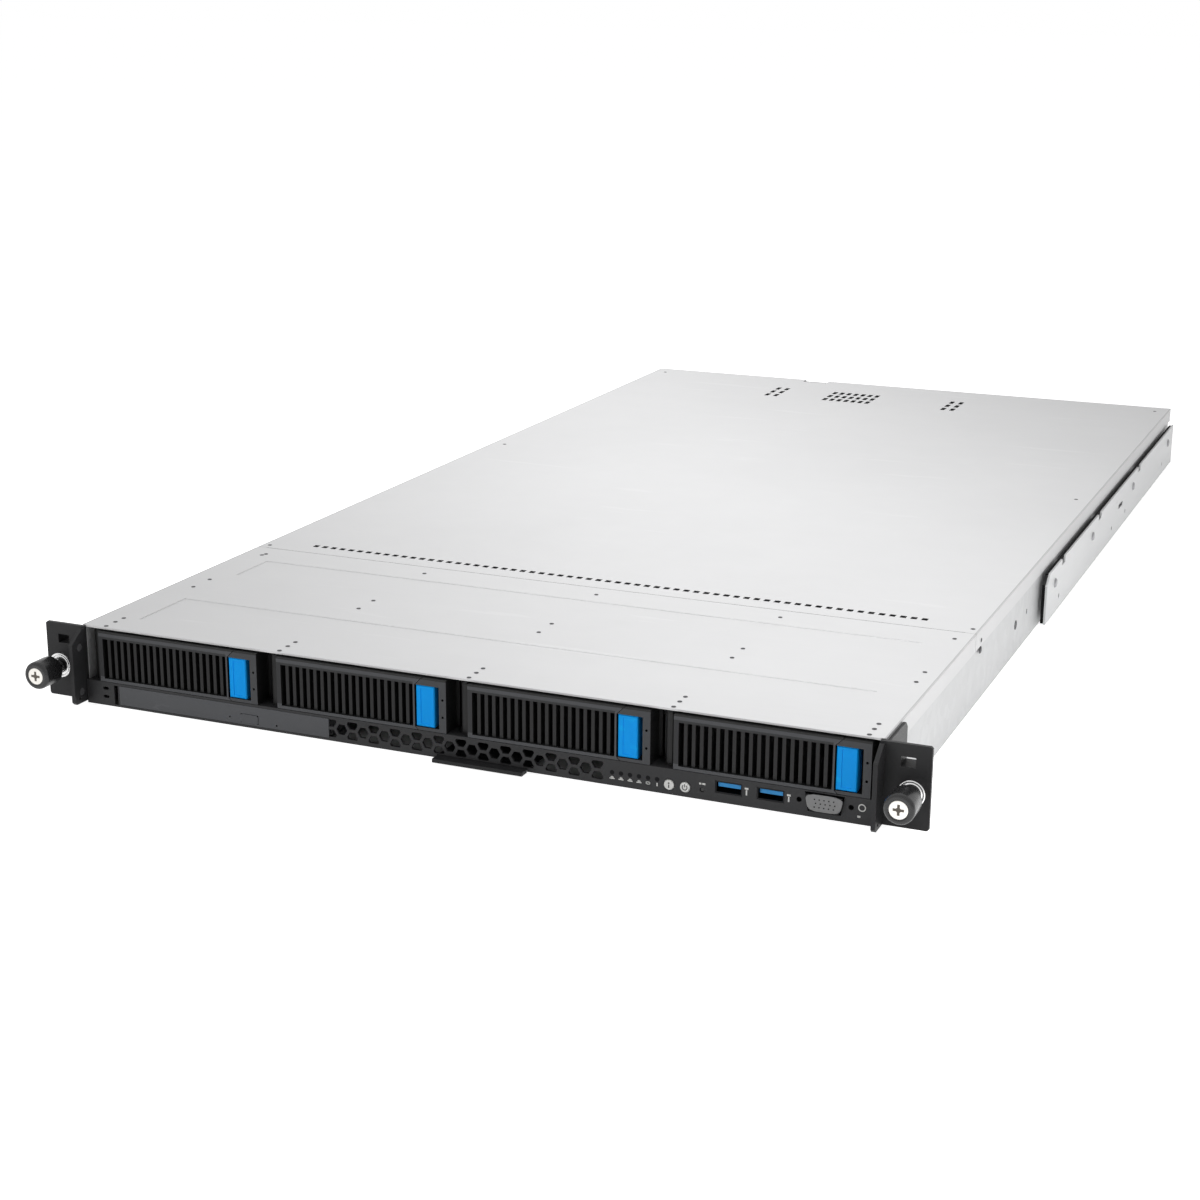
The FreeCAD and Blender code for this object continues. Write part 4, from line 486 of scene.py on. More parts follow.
def sheet_metal(name, color, roughness, stretch=(14.0, 700.0, 700.0), plated=False, metallic=0.6, inside=None,
                front_shade_depth=None):
    """Satin sheet steel: brushing, slow tone, thin scuffs, zinc crystals where plated; painted shade on punched edges,
    slot walls and bends, and over the front.
    """
    material = new_material(name, color, roughness, metallic)
    streaks = place_group(material, "brushed", stretch)
    vary_by(material, "cloud", (5.0, 5.0, 5.0), tint(color, 0.93))
    vary_color(material, streaks["Mask"], tint(color, 1.05), 0.5)
    if plated:
        vary_by(material, "plating", (170.0, 170.0, 170.0), tint(color, 0.86), 0.5)
    vary_by(material, "scuffs", (9.0, 70.0, 50.0), tint(color, 1.12), 0.3)
    if inside:
        # painted shade: upright faces inside the outline, such as slot walls and punched edges, turn near black
        vary_by(material, "cut", inside, (0.035, 0.035, 0.037), 0.94)
        # painted shade: a darker line along the cover's bends
        vary_color(material, place_group(material, "window", *BEND_SHADE_LINE)["Bars"], tint(color, 0.62), 0.8)
    if front_shade_depth:
        # painted shade: all of the sheet in front of the given depth turns near black, as in the gaps between the bays
        behind = place_group(material, "window", ANYWHERE, (0.0, 0.0, front_shade_depth))["Behind"]
        vary_color(material, step(material.node_tree, "LESS_THAN", behind, 0.5), (0.008, 0.008, 0.008), 0.95)
    vary_roughness(material, streaks["Mask"], roughness - 0.05, roughness + 0.07)
    add_bump(material, streaks["Height"], 0.00003, 0.25)
    return material


def moulded(name, color, roughness, grain=0.00006, stretch=(1300.0, 1300.0, 1300.0), edge_wear_and_highlight=0.0, **sockets):
    """Moulded or sprayed surface: fine pebble, a little dust in it, faint rubbing, and rubbed edges that also carry a
    painted edge highlight.
    """
    material = new_material(name, color, roughness, **sockets)
    pebble = place_group(material, "pebble", stretch)
    vary_by(material, "cloud", (22.0, 22.0, 22.0), tint(color, 1.18), 0.6)
    vary_by(material, "scuffs", (60.0, 220.0, 160.0), tint(color, 1.8), 0.25)
    if edge_wear_and_highlight:
        # partly edge wear, partly painted highlight: every edge turns lighter
        vary_by(material, "rub", (1.0, 1.0, 1.0), tint(color, 2.2), edge_wear_and_highlight)
    vary_roughness(material, pebble["Mask"], roughness - 0.06, roughness + 0.08)
    add_bump(material, pebble["Height"], grain, 0.5)
    return material


def circuit_board(name, color):
    """Solder mask over copper, with plated pads."""
    material = new_material(name, color, 0.38)
    traces = place_group(material, "traces", (300.0, 300.0, 300.0))
    vary_color(material, traces["Lines"], tint(color, 2.2), 0.8)
    vary_color(material, traces["Pads"], (0.55, 0.50, 0.36), 0.9)
    add_bump(material, traces["Lines"], 0.00004, 0.6)
    return material


def bright_metal(name, color, roughness):
    """Polished or nickelled metal with faint rubbing marks."""
    material = new_material(name, color, roughness, 1.0)
    vary_by(material, "cloud", (160.0, 160.0, 160.0), tint(color, 0.85), 0.6)
    scuffs = place_group(material, "scuffs", (300.0, 900.0, 900.0))
    vary_roughness(material, scuffs["Mask"], roughness, roughness + 0.2)
    return material


def bay_front(name, color, window, rows):
    """Moulded front of a bay: darker bars inside the repeated window, painted shadow above it under the cover's lip,
    and painted shade behind the face.
    """
    material = moulded(name, color, 0.45, edge_wear_and_highlight=0.5, Specular_IOR_Level=0.28)
    zones = place_group(material, "window", window, rows)
    # painted shadow: a black strip above the grille, under the cover's front lip
    lip_shadow = place_group(material, "window", (-1.0, 10.0, 5.0), (rows[1] + 0.0018, 1.0, 1.0))
    vary_color(material, zones["Bars"], tint(color, 0.2), 0.9)
    vary_color(material, lip_shadow["Bars"], BAY_SHADE_BLACK, 0.95)
    # painted shade: all behind the face turns black, such as the sides in the gaps between trays
    vary_color(material, zones["Behind"], BAY_SHADE_BLACK, 0.96)
    return material


def build_bay_fronts(lever):
    """The grilles' windows repeat with the bays, and the face is the front-most tenth of a millimetre; all behind it
    gets painted shade.
    """
    low, high = box_mm(LEVERS[0])
    pitch = box_mm(LEVERS[1])[0][0] - low[0]
    latch = box_mm(LATCHES[0])[0]
    window = at(low[0] + 3.1, pitch, latch[0] - low[0] - 4.6)
    rows = at(low[2] + 2.6, high[2] - 2.6, low[1] + 0.06)
    MATERIALS.update(
        lever=bay_front("lever_charcoal", tint(lever, 1.5), window, rows),
        tray=bay_front("tray_black", tint(lever, 1.1), ANYWHERE, rows),
    )


def build_materials(finish):
    """Make every material of the server from its settings."""
    cover = tuple(finish.cover_color)
    steel = tuple(finish.steel_color)
    lever = tuple(finish.lever_color)
    black = tuple(finish.black_color)
    board = tuple(finish.board_color)
    blue = tuple(finish.latch_color)
    MATERIALS.update(
        cover=sheet_metal("cover_satin_steel", cover, finish.cover_roughness, metallic=0.2, inside=SLOT_SHADE_AREA),
        chassis=sheet_metal("chassis_zinc_sheet", steel, 0.42, plated=True, metallic=0.25),
        cage=sheet_metal("cage_zinc_sheet", tint(steel, 0.8), 0.45, (600.0, 14.0, 600.0), True,
                         front_shade_depth=0.034),
        rail=sheet_metal("rail_zinc_steel", tint(steel, 1.06), 0.36, (600.0, 12.0, 600.0), metallic=0.25),
        supply=sheet_metal("supply_zinc_sheet", tint(steel, 0.85), 0.44, plated=True),
        rivet=bright_metal("rivet_dark_steel", (0.10, 0.10, 0.105), 0.5),
        screw_head=bright_metal("screw_head_steel", (0.30, 0.30, 0.31), 0.36),
        # painted shade: a black for the rail gaps, the lamp holes and the port's contact holes
        shadow=moulded("shade_black", (0.012, 0.012, 0.013), 0.6, 0.00003, Specular_IOR_Level=0.05),
        panel=moulded("front_panel_paint", tint(black, 1.2), 0.5, 0.00004, edge_wear_and_highlight=0.5, Specular_IOR_Level=0.25),
        ear=moulded("ear_paint", black, 0.45, 0.00004, edge_wear_and_highlight=0.6, Specular_IOR_Level=0.2),
        screw=moulded("fin_screw_paint", tint(black, 3.0), 0.4, 0.00002),
        knob=moulded("knob_black", tint(black, 0.6), 0.26, 0.00002),
        knob_disc=bright_metal("knob_disc_steel", (0.72, 0.70, 0.66), 0.34),
        knob_recess=moulded("knob_recess_shade", (0.09, 0.075, 0.06), 0.5, 0.00001),
        collar=bright_metal("collar_nickel", (0.80, 0.80, 0.80), 0.22),
        retainer=bright_metal("retainer_steel", (0.55, 0.55, 0.56), 0.35),
        latch=moulded("latch_blue", blue, 0.5, 0.00002, Specular_IOR_Level=0.2),
        drive=sheet_metal("drive_cast_alloy", (0.36, 0.37, 0.39), 0.5, (300.0, 300.0, 300.0)),
        drive_plate=sheet_metal("drive_lid_steel", (0.55, 0.56, 0.57), 0.3, (40.0, 500.0, 500.0)),
        board=circuit_board("board_green", board),
        module=circuit_board("module_green", tint(board, 0.8)),
        chip=moulded("chip_epoxy", (0.016, 0.016, 0.018), 0.42, 0.00001),
        socket_black=moulded("socket_black", (0.014, 0.014, 0.015), 0.4, 0.00001),
        can=bright_metal("capacitor_can", (0.62, 0.62, 0.64), 0.25),
        gold=bright_metal("contact_gold", (0.80, 0.58, 0.22), 0.28),
        optical_case=sheet_metal("optical_zinc_sheet", tint(steel, 0.9), 0.4, plated=True),
        optical=moulded("optical_black", tint(lever, 1.8), 0.4, 0.00003, edge_wear_and_highlight=0.5, Specular_IOR_Level=0.3),
        white_button=moulded("button_white", (0.70, 0.70, 0.68), 0.35, 0.00001),
        black_button=moulded("button_black", tint(black, 0.5), 0.4, 0.00001),
        print_white=moulded("print_white", (0.62, 0.62, 0.60), 0.6, 0.00001),
        print_dark=moulded("print_dark", (0.02, 0.02, 0.02), 0.6, 0.00001),
        lens=new_material("lamp_lens", (0.006, 0.006, 0.006), 0.2, Specular_IOR_Level=0.3),
        port=bright_metal("port_nickel", (0.50, 0.50, 0.50), 0.35),
        front_port=bright_metal("front_port_shells", (0.022, 0.022, 0.023), 0.45),
        port_face=moulded("port_face_grey", (0.20, 0.20, 0.20), 0.5, 0.00006, (420.0, 420.0, 420.0)),
        usb=moulded("usb_blue", (0.01, 0.25, 0.60), 0.4, 0.00001),
        insert=moulded("insert_grey", (0.16, 0.16, 0.165), 0.45, 0.00001),
        tag=moulded("tag_grey", tint(black, 0.7), 0.5, 0.00003, Specular_IOR_Level=0.2),
        fan=moulded("fan_black", (0.012, 0.012, 0.013), 0.4, 0.00004),
        rotor=moulded("rotor_black", (0.018, 0.018, 0.02), 0.35, 0.00003),
        sink=sheet_metal("sink_alloy", (0.62, 0.63, 0.64), 0.35, (600.0, 20.0, 600.0)),
    )


FINISHES = {
    "chassis_base": "chassis", "drive_cage": "cage", "front_cover": "cover", "rear_cover": "cover",
    "cover_rivets": "rivet", "front_panel": "panel", "rear_panel": "chassis", "rack_ear_right": "ear",
    "rack_ear_left": "ear", "ear_screws": "screw", "screw_collars": "collar", "rack_screw_left": "knob",
    "rack_screw_right": "knob", "screw_retainer_left": "retainer", "screw_retainer_right": "retainer",
    "drive_backplane": "board", "optical_drive_case": "optical_case", "optical_tray": "optical",
    "eject_button": "optical", "locate_button": "white_button", "power_button": "white_button",
    "reset_button": "black_button", "lamp_lenses": "lens", "control_board": "board", "port_shells": "front_port",
    "usb_tongues": "usb", "display_insert": "insert", "pull_out_tag": "tag", "side_rail_right": "rail",
    "side_rail_left": "rail", "fan_frames": "fan", "motherboard": "board", "memory_modules": "module",
    "heat_sinks": "sink", "riser_card": "cage", "rear_ports": "port",
}
for family, finish_key in ((TRAYS, "tray"), (LEVERS, "lever"), (LATCHES, "latch"), (DRIVES, "drive"),
                           (ROTORS, "rotor"), (SUPPLIES, "supply")):
    FINISHES.update(dict.fromkeys(family, finish_key))


# ---------------------------------------------------------------- operators
# Places, in millimetres, that the frame's boxes don't give.
LAMP_COUNT = 6
LAMP_RADIUS = 0.8
PRINT_FRONT, PRINT_BACK = 0.03, 0.02  # printed marks ahead of the face they lie on, and behind it
USB_WIDTH, USB_MARGIN = 11.2, 3.3  # a port's tongue, and from it to its mark
BOARD_SHEET = 1.6
RAIL_GAP = 3.8
STUDS = (0.05, 0.3, 0.62, 0.95)  # shares of the rail's length
WALL_SCREWS = ((188.0, 30.6, 0.7), (188.0, 36.0, 0.45))  # y, z and size
WALL_WASHER = (282, 18)  # y and z
COVER_SCREWS = ((-214.4, 181.0), (215.3, 183.3), (-206.6, 159.2), (-209.0, 500.0), (209.0, 500.0), (-209.0, 826.0),
                (209.0, 826.0))  # x and y
CAN_PITCH = 9.5
COIN_CELL = (-20, 664)  # x and y
PACKAGE_COUNT = 420
KEEP_CLEAR = ((-64, 596, -26, 634), (6, 686, 38, 718), (-84, 736, -46, 756), (-110, 696, -90, 826),
              (-34, 804, 52, 826), (-34, 650, -6, 678), (-202, 612, -188, 676))  # left, near, right and far
CHIPS_PER_MODULE, CHIP_PITCH = 9, 14.2


class FINISH_OT_surfaces(bpy.types.Operator):
    """Give every sub-part of the frame its material."""

    bl_idname = "finish.surfaces"
    bl_label = "Surfaces"

    def execute(self, context):
        build_groups()
        build_materials(context.scene.server_finish)
        build_bay_fronts(tuple(context.scene.server_finish.lever_color))
        for name, node in NODES.items():
            node.data.materials.clear()
            node.data.materials.append(MATERIALS[FINISHES[name]])
        return {"FINISHED"}


class FINISH_OT_knobs(bpy.types.Operator):
    """Smooth grips, steel discs and cross recesses of the two rack screws, the recesses dark with painted shade."""

    bl_idname = "finish.knobs"
    bl_label = "Rack screw knobs"

    def execute(self, context):
        for side in SIDES:
            low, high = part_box(f"rack_screw_{side}")
            centre = (low + high) / 2
            self.grip(side, centre.x, low.y, centre.z, (high.x - low.x) / 2)
            self.disc(side, centre.x, low.y, centre.z)
        return {"FINISHED"}

    @staticmethod
    def grip(side, x, front, z, radius):
        """A loop profile turned about the screw: a rolled front rim, a straight grip and a tapered back."""
        rim = np.array([(-0.05, -2.6), (-0.05, -1.5), (0.12, -0.85), (0.55, -0.3), (1.2, 0.04), (2.0, 0.12),
                        (11.6, 0.12), (12.6, 0.0), (13.25, -0.4), (13.25, -3.6), (6.0, -2.2)])
        profile = rim * MM + np.array([0.0, radius])
        face_outward(add_piece(f"knob_grip_{side}", *ring(profile, (x, front, z), 96), f"rack_screw_{side}", "knob",
                               "knob_black"))

    @staticmethod
    def disc(side, x, front, z, radius=4.75 * MM, rings=14, steps=72):
        """A shallow dome: depth grows with the square of the radius, and the rim rolls back at the end."""
        share = np.linspace(0.004, 1, rings)[:, None]
        angle = np.linspace(0, 2 * math.pi, steps, endpoint=False)[None, :]
        across, upward = share * np.cos(angle) * radius, share * np.sin(angle) * radius
        depth = front - 0.12 * MM + (0.10 * share ** 2 + 0.4 * np.clip((share - 0.92) / 0.08, 0, 1) ** 2) * MM
        points = np.stack([x + across, depth + 0 * across, z + upward], -1).reshape(-1, 3)
        body = f"rack_screw_{side}"
        add_piece(f"knob_disc_{side}", points, grid_faces(rings, steps, True), body, "knob_disc", "collar_steel")
        # painted shade: the cross and its centre are dark slabs that stand for the shade in the recess
        arm, half, top = 2.6 * MM, 0.62 * MM, front - 0.16 * MM
        bars = [((x - arm, top, z - half), (x + arm, top + 0.2 * MM, z + half)),
                ((x - half, top - 0.004 * MM, z - arm), (x + half, top + 0.2 * MM, z + arm))]
        core = turned(np.array([(-0.01, 0.01), (-0.01, 1.25), (0.2, 1.3)]) * MM, (x, top, z), 32)
        add_parts(f"knob_recess_{side}", [slabs(bars), core], body, "knob_recess", "knob_black", smooth=False)


class FINISH_OT_collar_rims(bpy.types.Operator):
    """Polished rolled rims on the collars of the rack screws."""

    bl_idname = "finish.collar_rims"
    bl_label = "Collar rims"

    def execute(self, context):
        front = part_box("screw_collars")[0].y
        parts = []
        for side in SIDES:
            screw = middle(f"rack_screw_{side}")
            around = np.linspace(0, 2 * math.pi, 12, endpoint=False)
            profile = np.stack([0.55 * np.sin(around), 6.1 + 0.62 * np.cos(around)], -1) * MM
            parts.append(ring(profile, (screw.x, front - 0.05 * MM, screw.z), 96))
            flat = np.array([(-0.3, 3.5), (-0.3, 5.6), (0.1, 5.6), (0.1, 3.5)]) * MM
            parts.append(ring(flat, (screw.x, front, screw.z), 96))
        face_outward(add_parts("collar_rims", parts, "chassis", "collar", "collar_steel"))
        return {"FINISHED"}


class FINISH_OT_panel_prints(bpy.types.Operator):
    """Plain printed marks beside the lamps, buttons and ports, and signs on the two white buttons."""

    bl_idname = "finish.panel_prints"
    bl_label = "Panel prints"

    def execute(self, context):
        self.face = box_mm("front_panel")[0][1]
        lamps, lamps_high = box_mm("lamp_lenses")
        pitch = (lamps_high[0] - lamps[0] - 2 * LAMP_RADIUS) / (LAMP_COUNT - 1)
        columns = [lamps[0] + LAMP_RADIUS + pitch * number for number in range(LAMP_COUNT)]
        prints = []
        for number, x in enumerate(columns):
            prints += self.mark(x, lamps[2] - 1.9, number)
        reset = middle("reset_button") / MM
        prints += [self.patch(reset.x - 1.5, reset.z + 2.6, 1.1, 0.9),
                   self.patch(reset.x + 0.1, reset.z + 2.6, 1.5, 0.9)]
        usb_low, usb_high = box_mm("usb_tongues")
        for x in (usb_low[0] + USB_WIDTH + USB_MARGIN, usb_high[0] + USB_MARGIN):
            prints += [self.patch(x - 0.35, usb_low[2] - 2.0, 0.7, 2.6),
                       self.patch(x - 0.9, usb_low[2] + 0.9, 1.8, 0.9)]
        centre = middle("display_insert") / MM
        prints += [self.patch(centre.x + 15.6, centre.z - 4.4, 1.5, 1.0)]
        loop = [(-PRINT_FRONT, 1.35), (-PRINT_FRONT, 1.85), (PRINT_BACK, 1.85), (PRINT_BACK, 1.35)]
        wheel = ring(np.array(loop) * MM, at(centre.x, self.face, centre.z) + at(17.7, 0, 0.6), 32)
        add_parts("panel_prints", [slabs(np.array(prints) * MM), wheel], "chassis", "print_white", "button_white",
                  smooth=False)
        profile = np.array([(-0.03, 0.01), (-0.04, 0.6), (-0.06, 0.9), (-0.03, 1.15), (0.02, 1.15)]) * MM
        # painted shade: black discs over the lamp lenses and around them, so that the lamp holes read dark
        rims = [turned(profile, at(x, self.face, lamps[2] + LAMP_RADIUS), 24) for x in columns]
        add_parts("lamp_hole_shade", rims, "chassis", "shadow", "panel_black", smooth=False)
        self.button_signs()
        return {"FINISHED"}

    def patch(self, x, z, width, height):
        """One thin printed block on the panel's face."""
        return (x, self.face - PRINT_FRONT, z), (x + width, self.face + PRINT_BACK, z + height)

    def mark(self, x, z, number):
        """A small generic sign under a lamp: bars of different widths, a frame or a single upright bar."""
        bars = [(-1.3, -0.6, 2.6, 0.5), (-0.7, 0.05, 1.5, 0.5), (-0.25, 0.5, 0.5, 0.35)]
        frame_bars = [(-1.1, -0.6, 2.2, 0.35), (-1.1, 0.45, 2.2, 0.35), (-1.1, -0.6, 0.35, 1.4),
                      (0.75, -0.6, 0.35, 1.4)]
        signs = {LAMP_COUNT - 1: [(-0.3, -0.8, 0.6, 1.7)], LAMP_COUNT - 2: frame_bars}
        return [self.patch(x + dx, z + dz, *size) for dx, dz, *size in signs.get(number, bars)]

    @staticmethod
    def button_signs():
        """A broken ring with a bar on the power button, and a dot over a bar on the other."""
        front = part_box("power_button")[0].y
        face = front - PRINT_FRONT * MM
        centre = middle("power_button")
        angle = np.linspace(math.radians(125), math.radians(415), 28)
        unit = np.stack([np.cos(angle), 0 * angle, np.sin(angle)], -1)
        rows = np.stack([unit * 1.0, unit * 1.45]) * MM + np.array([centre.x, face, centre.z])
        bar = slabs([((centre.x - 0.22 * MM, face, centre.z + 0.1 * MM),
                      (centre.x + 0.22 * MM, front + 0.05 * MM, centre.z + 1.7 * MM))])
        add_parts("power_sign", [(rows, grid_faces(2, len(angle))), bar], "power_button", "print_dark",
                  "button_black", smooth=False)
        centre = middle("locate_button")
        dot = turned(np.array([(-PRINT_FRONT, 0.005), (-PRINT_FRONT, 0.42), (0.05, 0.42)]) * MM,
                     (centre.x, front, centre.z + 0.95 * MM), 20)
        bar = slabs([((centre.x - 0.3 * MM, face, centre.z - 1.4 * MM),
                      (centre.x + 0.3 * MM, front + 0.05 * MM, centre.z + 0.3 * MM))])
        add_parts("locate_sign", [dot, bar], "locate_button", "print_dark", "button_black", smooth=False)


class FINISH_OT_display_port(bpy.types.Operator):
    """Rounded face of the display port, with three rows of black discs as painted shade in its contact holes."""

    bl_idname = "finish.display_port"
    bl_label = "Display port"

    def execute(self, context):
        centre = middle("display_insert")
        low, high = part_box("port_shells")
        half = (high.z - low.z) / 2
        points = self.face(2.08 * half, half, centre.x, low.y, (low.z + high.z) / 2)
        face_outward(add_piece("display_port_face", points, grid_faces(12, 56, True), "chassis", "port_face",
                               "port_steel"))
        # painted shade: black discs stand for the dark inside the contact holes
        profile = np.array([(-0.06, 0.01), (-0.06, 0.36), (0.06, 0.36), (0.06, 0.01)]) * MM
        pins = [turned(profile, (centre.x + (2.3 * column - 4.6 + 0.6 * (row % 2)) * MM, low.y - 0.02 * MM,
                                 centre.z + (1.9 - 1.9 * row) * MM), 12)
                for row in range(3) for column in range(5)]
        add_parts("display_port_hole_shade", pins, "chassis", "shadow", "port_steel", smooth=False)
        return {"FINISHED"}

    @staticmethod
    def face(wide, half, x, front, z, rings=12, steps=56):
        """A tapered, rounded rectangle.

        The outline is cos and sin of the angle, each raised to the power a half with its sign kept, and its width
        grows by a tenth towards the top. The rings shrink it to the centre, and the last ones roll back as a rim.
        """
        angle = np.linspace(0, 2 * math.pi, steps, endpoint=False)[None, :]
        across = np.sign(np.cos(angle)) * np.abs(np.cos(angle)) ** 0.5
        upward = np.sign(np.sin(angle)) * np.abs(np.sin(angle)) ** 0.5
        across = across * wide * (1 + 0.1 * upward)
        share = np.concatenate([np.linspace(0.01, 0.86, rings - 4), [0.9, 0.96, 1.0, 1.0]])[:, None]
        depth = np.concatenate([np.full(rings - 4, 0.0), [-0.12, -0.14, -0.02, 0.5]])[:, None] * MM
        return np.stack([x + share * across, front + depth + 0 * across, z + share * upward * half],
                        -1).reshape(-1, 3)


class FINISH_OT_side_hardware(bpy.types.Operator):
    """Painted shadow strips in the gaps behind the rails, stud heads on them, and screws in the chassis walls and
    covers.
    """

    bl_idname = "finish.side_hardware"
    bl_label = "Side hardware"

    def execute(self, context):
        low, high = box_mm("side_rail_right")
        self.channel(low, high)
        self.heads(low, high)
        self.cover_screws()
        return {"FINISHED"}

    @staticmethod
    def channel(low, high):
        """Painted shadow: a black strip between the chassis wall and the rail, one under the rail's top edge and one at
        its front.
        """
        inner, outer = low[0] - 2.0, low[0] - 0.15
        boxes = [((inner, low[1] + 8.0, high[2] - 1.4), (outer, high[1] - 1.0, high[2] - 0.5)),
                 ((inner, low[1] + 0.6, low[2] + 0.5), (outer, low[1] + 1.4, high[2] - 6.0))]
        add_pair("rail_gap_shadow", [slabs(np.array(boxes) * MM)], "shadow", "rail_steel", smooth=False)

    @staticmethod
    def heads(low, high):
        """Pan heads: a quarter-round profile with a flat, turned about X."""
        profile = np.array([(1.1, 0.01), (1.1, 1.5), (0.95, 2.2), (0.55, 2.75), (0.0, 3.0), (-0.3, 3.0)]) * MM
        length = high[1] - low[1]
        studs = [turned(profile, at(high[0], low[1] + share * length, high[2] - 10), 32, "x") for share in STUDS]
        wall = low[0] - RAIL_GAP
        screws = [turned(profile * np.array([0.6, size]), at(wall, y, z) + at(0.9, 0, 0), 24, "x")
                  for y, z, size in WALL_SCREWS]
        washer = np.array([(-0.1, 1.75), (0.25, 1.8), (0.25, 2.7), (-0.1, 2.75)]) * MM
        screws.append(ring(washer, at(wall, *WALL_WASHER), 32, "x"))
        add_pair("rail_stud_heads", studs, "screw_head", "rail_steel")
        add_pair("wall_screws", screws, "rivet", "rivet_steel")

    @staticmethod
    def cover_screws():
        """Small flush screws at the corners of the covers: low domes."""
        low, high = box_mm("rear_cover")
        profile = np.array([(0.22, 0.01), (0.2, 0.7), (0.12, 1.15), (0.0, 1.35), (-0.2, 1.35)]) * MM
        covers = (("front_cover_screws", "chassis", False), ("rear_cover_screws", "rear_cover", True))
        for name, body, behind in covers:
            heads = [turned(profile, at(x, y, high[2]), 20, "z") for x, y in COVER_SCREWS if (y > low[1]) == behind]
            face_outward(add_parts(name, heads, body, "rivet", "rivet_steel"))


class FINISH_OT_drive_lids(bpy.types.Operator):
    """Steel lid and its screws on each hard drive."""

    bl_idname = "finish.drive_lids"
    bl_label = "Drive lids"

    def execute(self, context):
        profile = np.array([(0.3, 0.01), (0.3, 0.6), (0.28, 1.4), (0.0, 1.7), (-0.2, 1.7)]) * MM
        for number, node in enumerate(DRIVES, start=1):
            low, high = box_mm(node)
            tray = f"drive_tray_{number}"
            lid = [((low[0] + 5, low[1] + 7, high[2] - 0.7), (high[0] - 5, high[1] - 17, high[2] - 0.15))]
            soften(add_blocks(f"drive_lid_{number}", lid, tray, "drive_plate", "drive_alloy"), 0.0018, 3)
            heads = [turned(profile, at(x, y, high[2] - 0.2), 20, "z")
                     for x in (low[0] + 9, high[0] - 9) for y in (low[1] + 12, (low[1] + high[1]) / 2, high[1] - 22)]
            face_outward(add_parts(f"drive_screws_{number}", heads, tray, "screw_head", "drive_alloy"))
        return {"FINISHED"}


class FINISH_OT_board_parts(bpy.types.Operator):
    """Capacitors, a coin cell and small packages on the main board, and chips on the modules."""

    bl_idname = "finish.board_parts"
    bl_label = "Board parts"

    def execute(self, context):
        top = box_mm("motherboard")[0][2] + BOARD_SHEET
        self.capacitors(top)
        self.packages(top)
        self.module_chips()
        return {"FINISHED"}

    @staticmethod
    def capacitors(top):
        """Cans: a profile with a rolled groove near the foot and a bevelled top, turned about Z."""
        profile = np.array([(0, 3.0), (0.9, 3.1), (1.2, 2.85), (1.5, 3.1), (6.6, 3.1), (7.0, 2.7), (6.9, 0.01)]) * MM
        rows = [(left + CAN_PITCH * number, 566.0) for left in (-150, 70) for number in range(7)]
        rows += [(-196.0, 620.0 + CAN_PITCH * number) for number in range(6)]
        cans = [turned(profile, at(x, y, top), 24, "z") for x, y in rows]
        disc = np.array([(0.4, 10.0), (3.4, 10.0), (3.8, 9.6), (3.8, 0.02)]) * MM
        cell = turned(disc, at(*COIN_CELL, top), 48, "z")
        face_outward(add_parts("board_capacitors", cans + [cell], "chassis", "can", "board_green"))

    @staticmethod
    def packages(top):
        """Seeded scatter of flat packages, kept off the larger parts."""
        spots = np.random.default_rng(7)
        across = spots.uniform(-195, 55, PACKAGE_COUNT)
        along = spots.uniform(585, 818, PACKAGE_COUNT)
        wide = spots.choice([1.0, 1.6, 3.2, 5.0], PACKAGE_COUNT, p=[0.45, 0.3, 0.15, 0.1])
        deep = wide * spots.choice([0.5, 1.0, 1.6], PACKAGE_COUNT)
        clear = np.ones(PACKAGE_COUNT, bool)
        for left, near, right, far in KEEP_CLEAR:
            clear &= ~((across > left) & (across < right) & (along > near) & (along < far))
        across, along, wide, deep = (values[clear] for values in (across, along, wide, deep))
        corners = np.stack([np.stack([across, along, np.full_like(across, top - 0.05)], -1),
                            np.stack([across + wide, along + deep, top + 0.35 + 0.2 * wide], -1)], 1)
        add_blocks("board_packages", corners, "chassis", "chip", "board_green")

    @staticmethod
    def module_chips():
        """A row of memory packages on both faces of every module."""
        vertices = NODES["memory_modules"].data.vertices
        flat = np.empty(len(vertices) * 3)
        vertices.foreach_get("co", flat)
        points = flat.reshape(-1, 3) / MM
        low = points.min(0)
        boxes = [((x + near, y, low[2] + 12), (x + far, y + 11, low[2] + 24))
                 for x in np.unique(np.round(points[:, 0], 2))[::2]
                 for y in low[1] + 6 + CHIP_PITCH * np.arange(CHIPS_PER_MODULE)
                 for near, far in ((-0.9, 0.05), (1.15, 2.1))]
        add_blocks("module_chips", boxes, "chassis", "chip", "module_green")


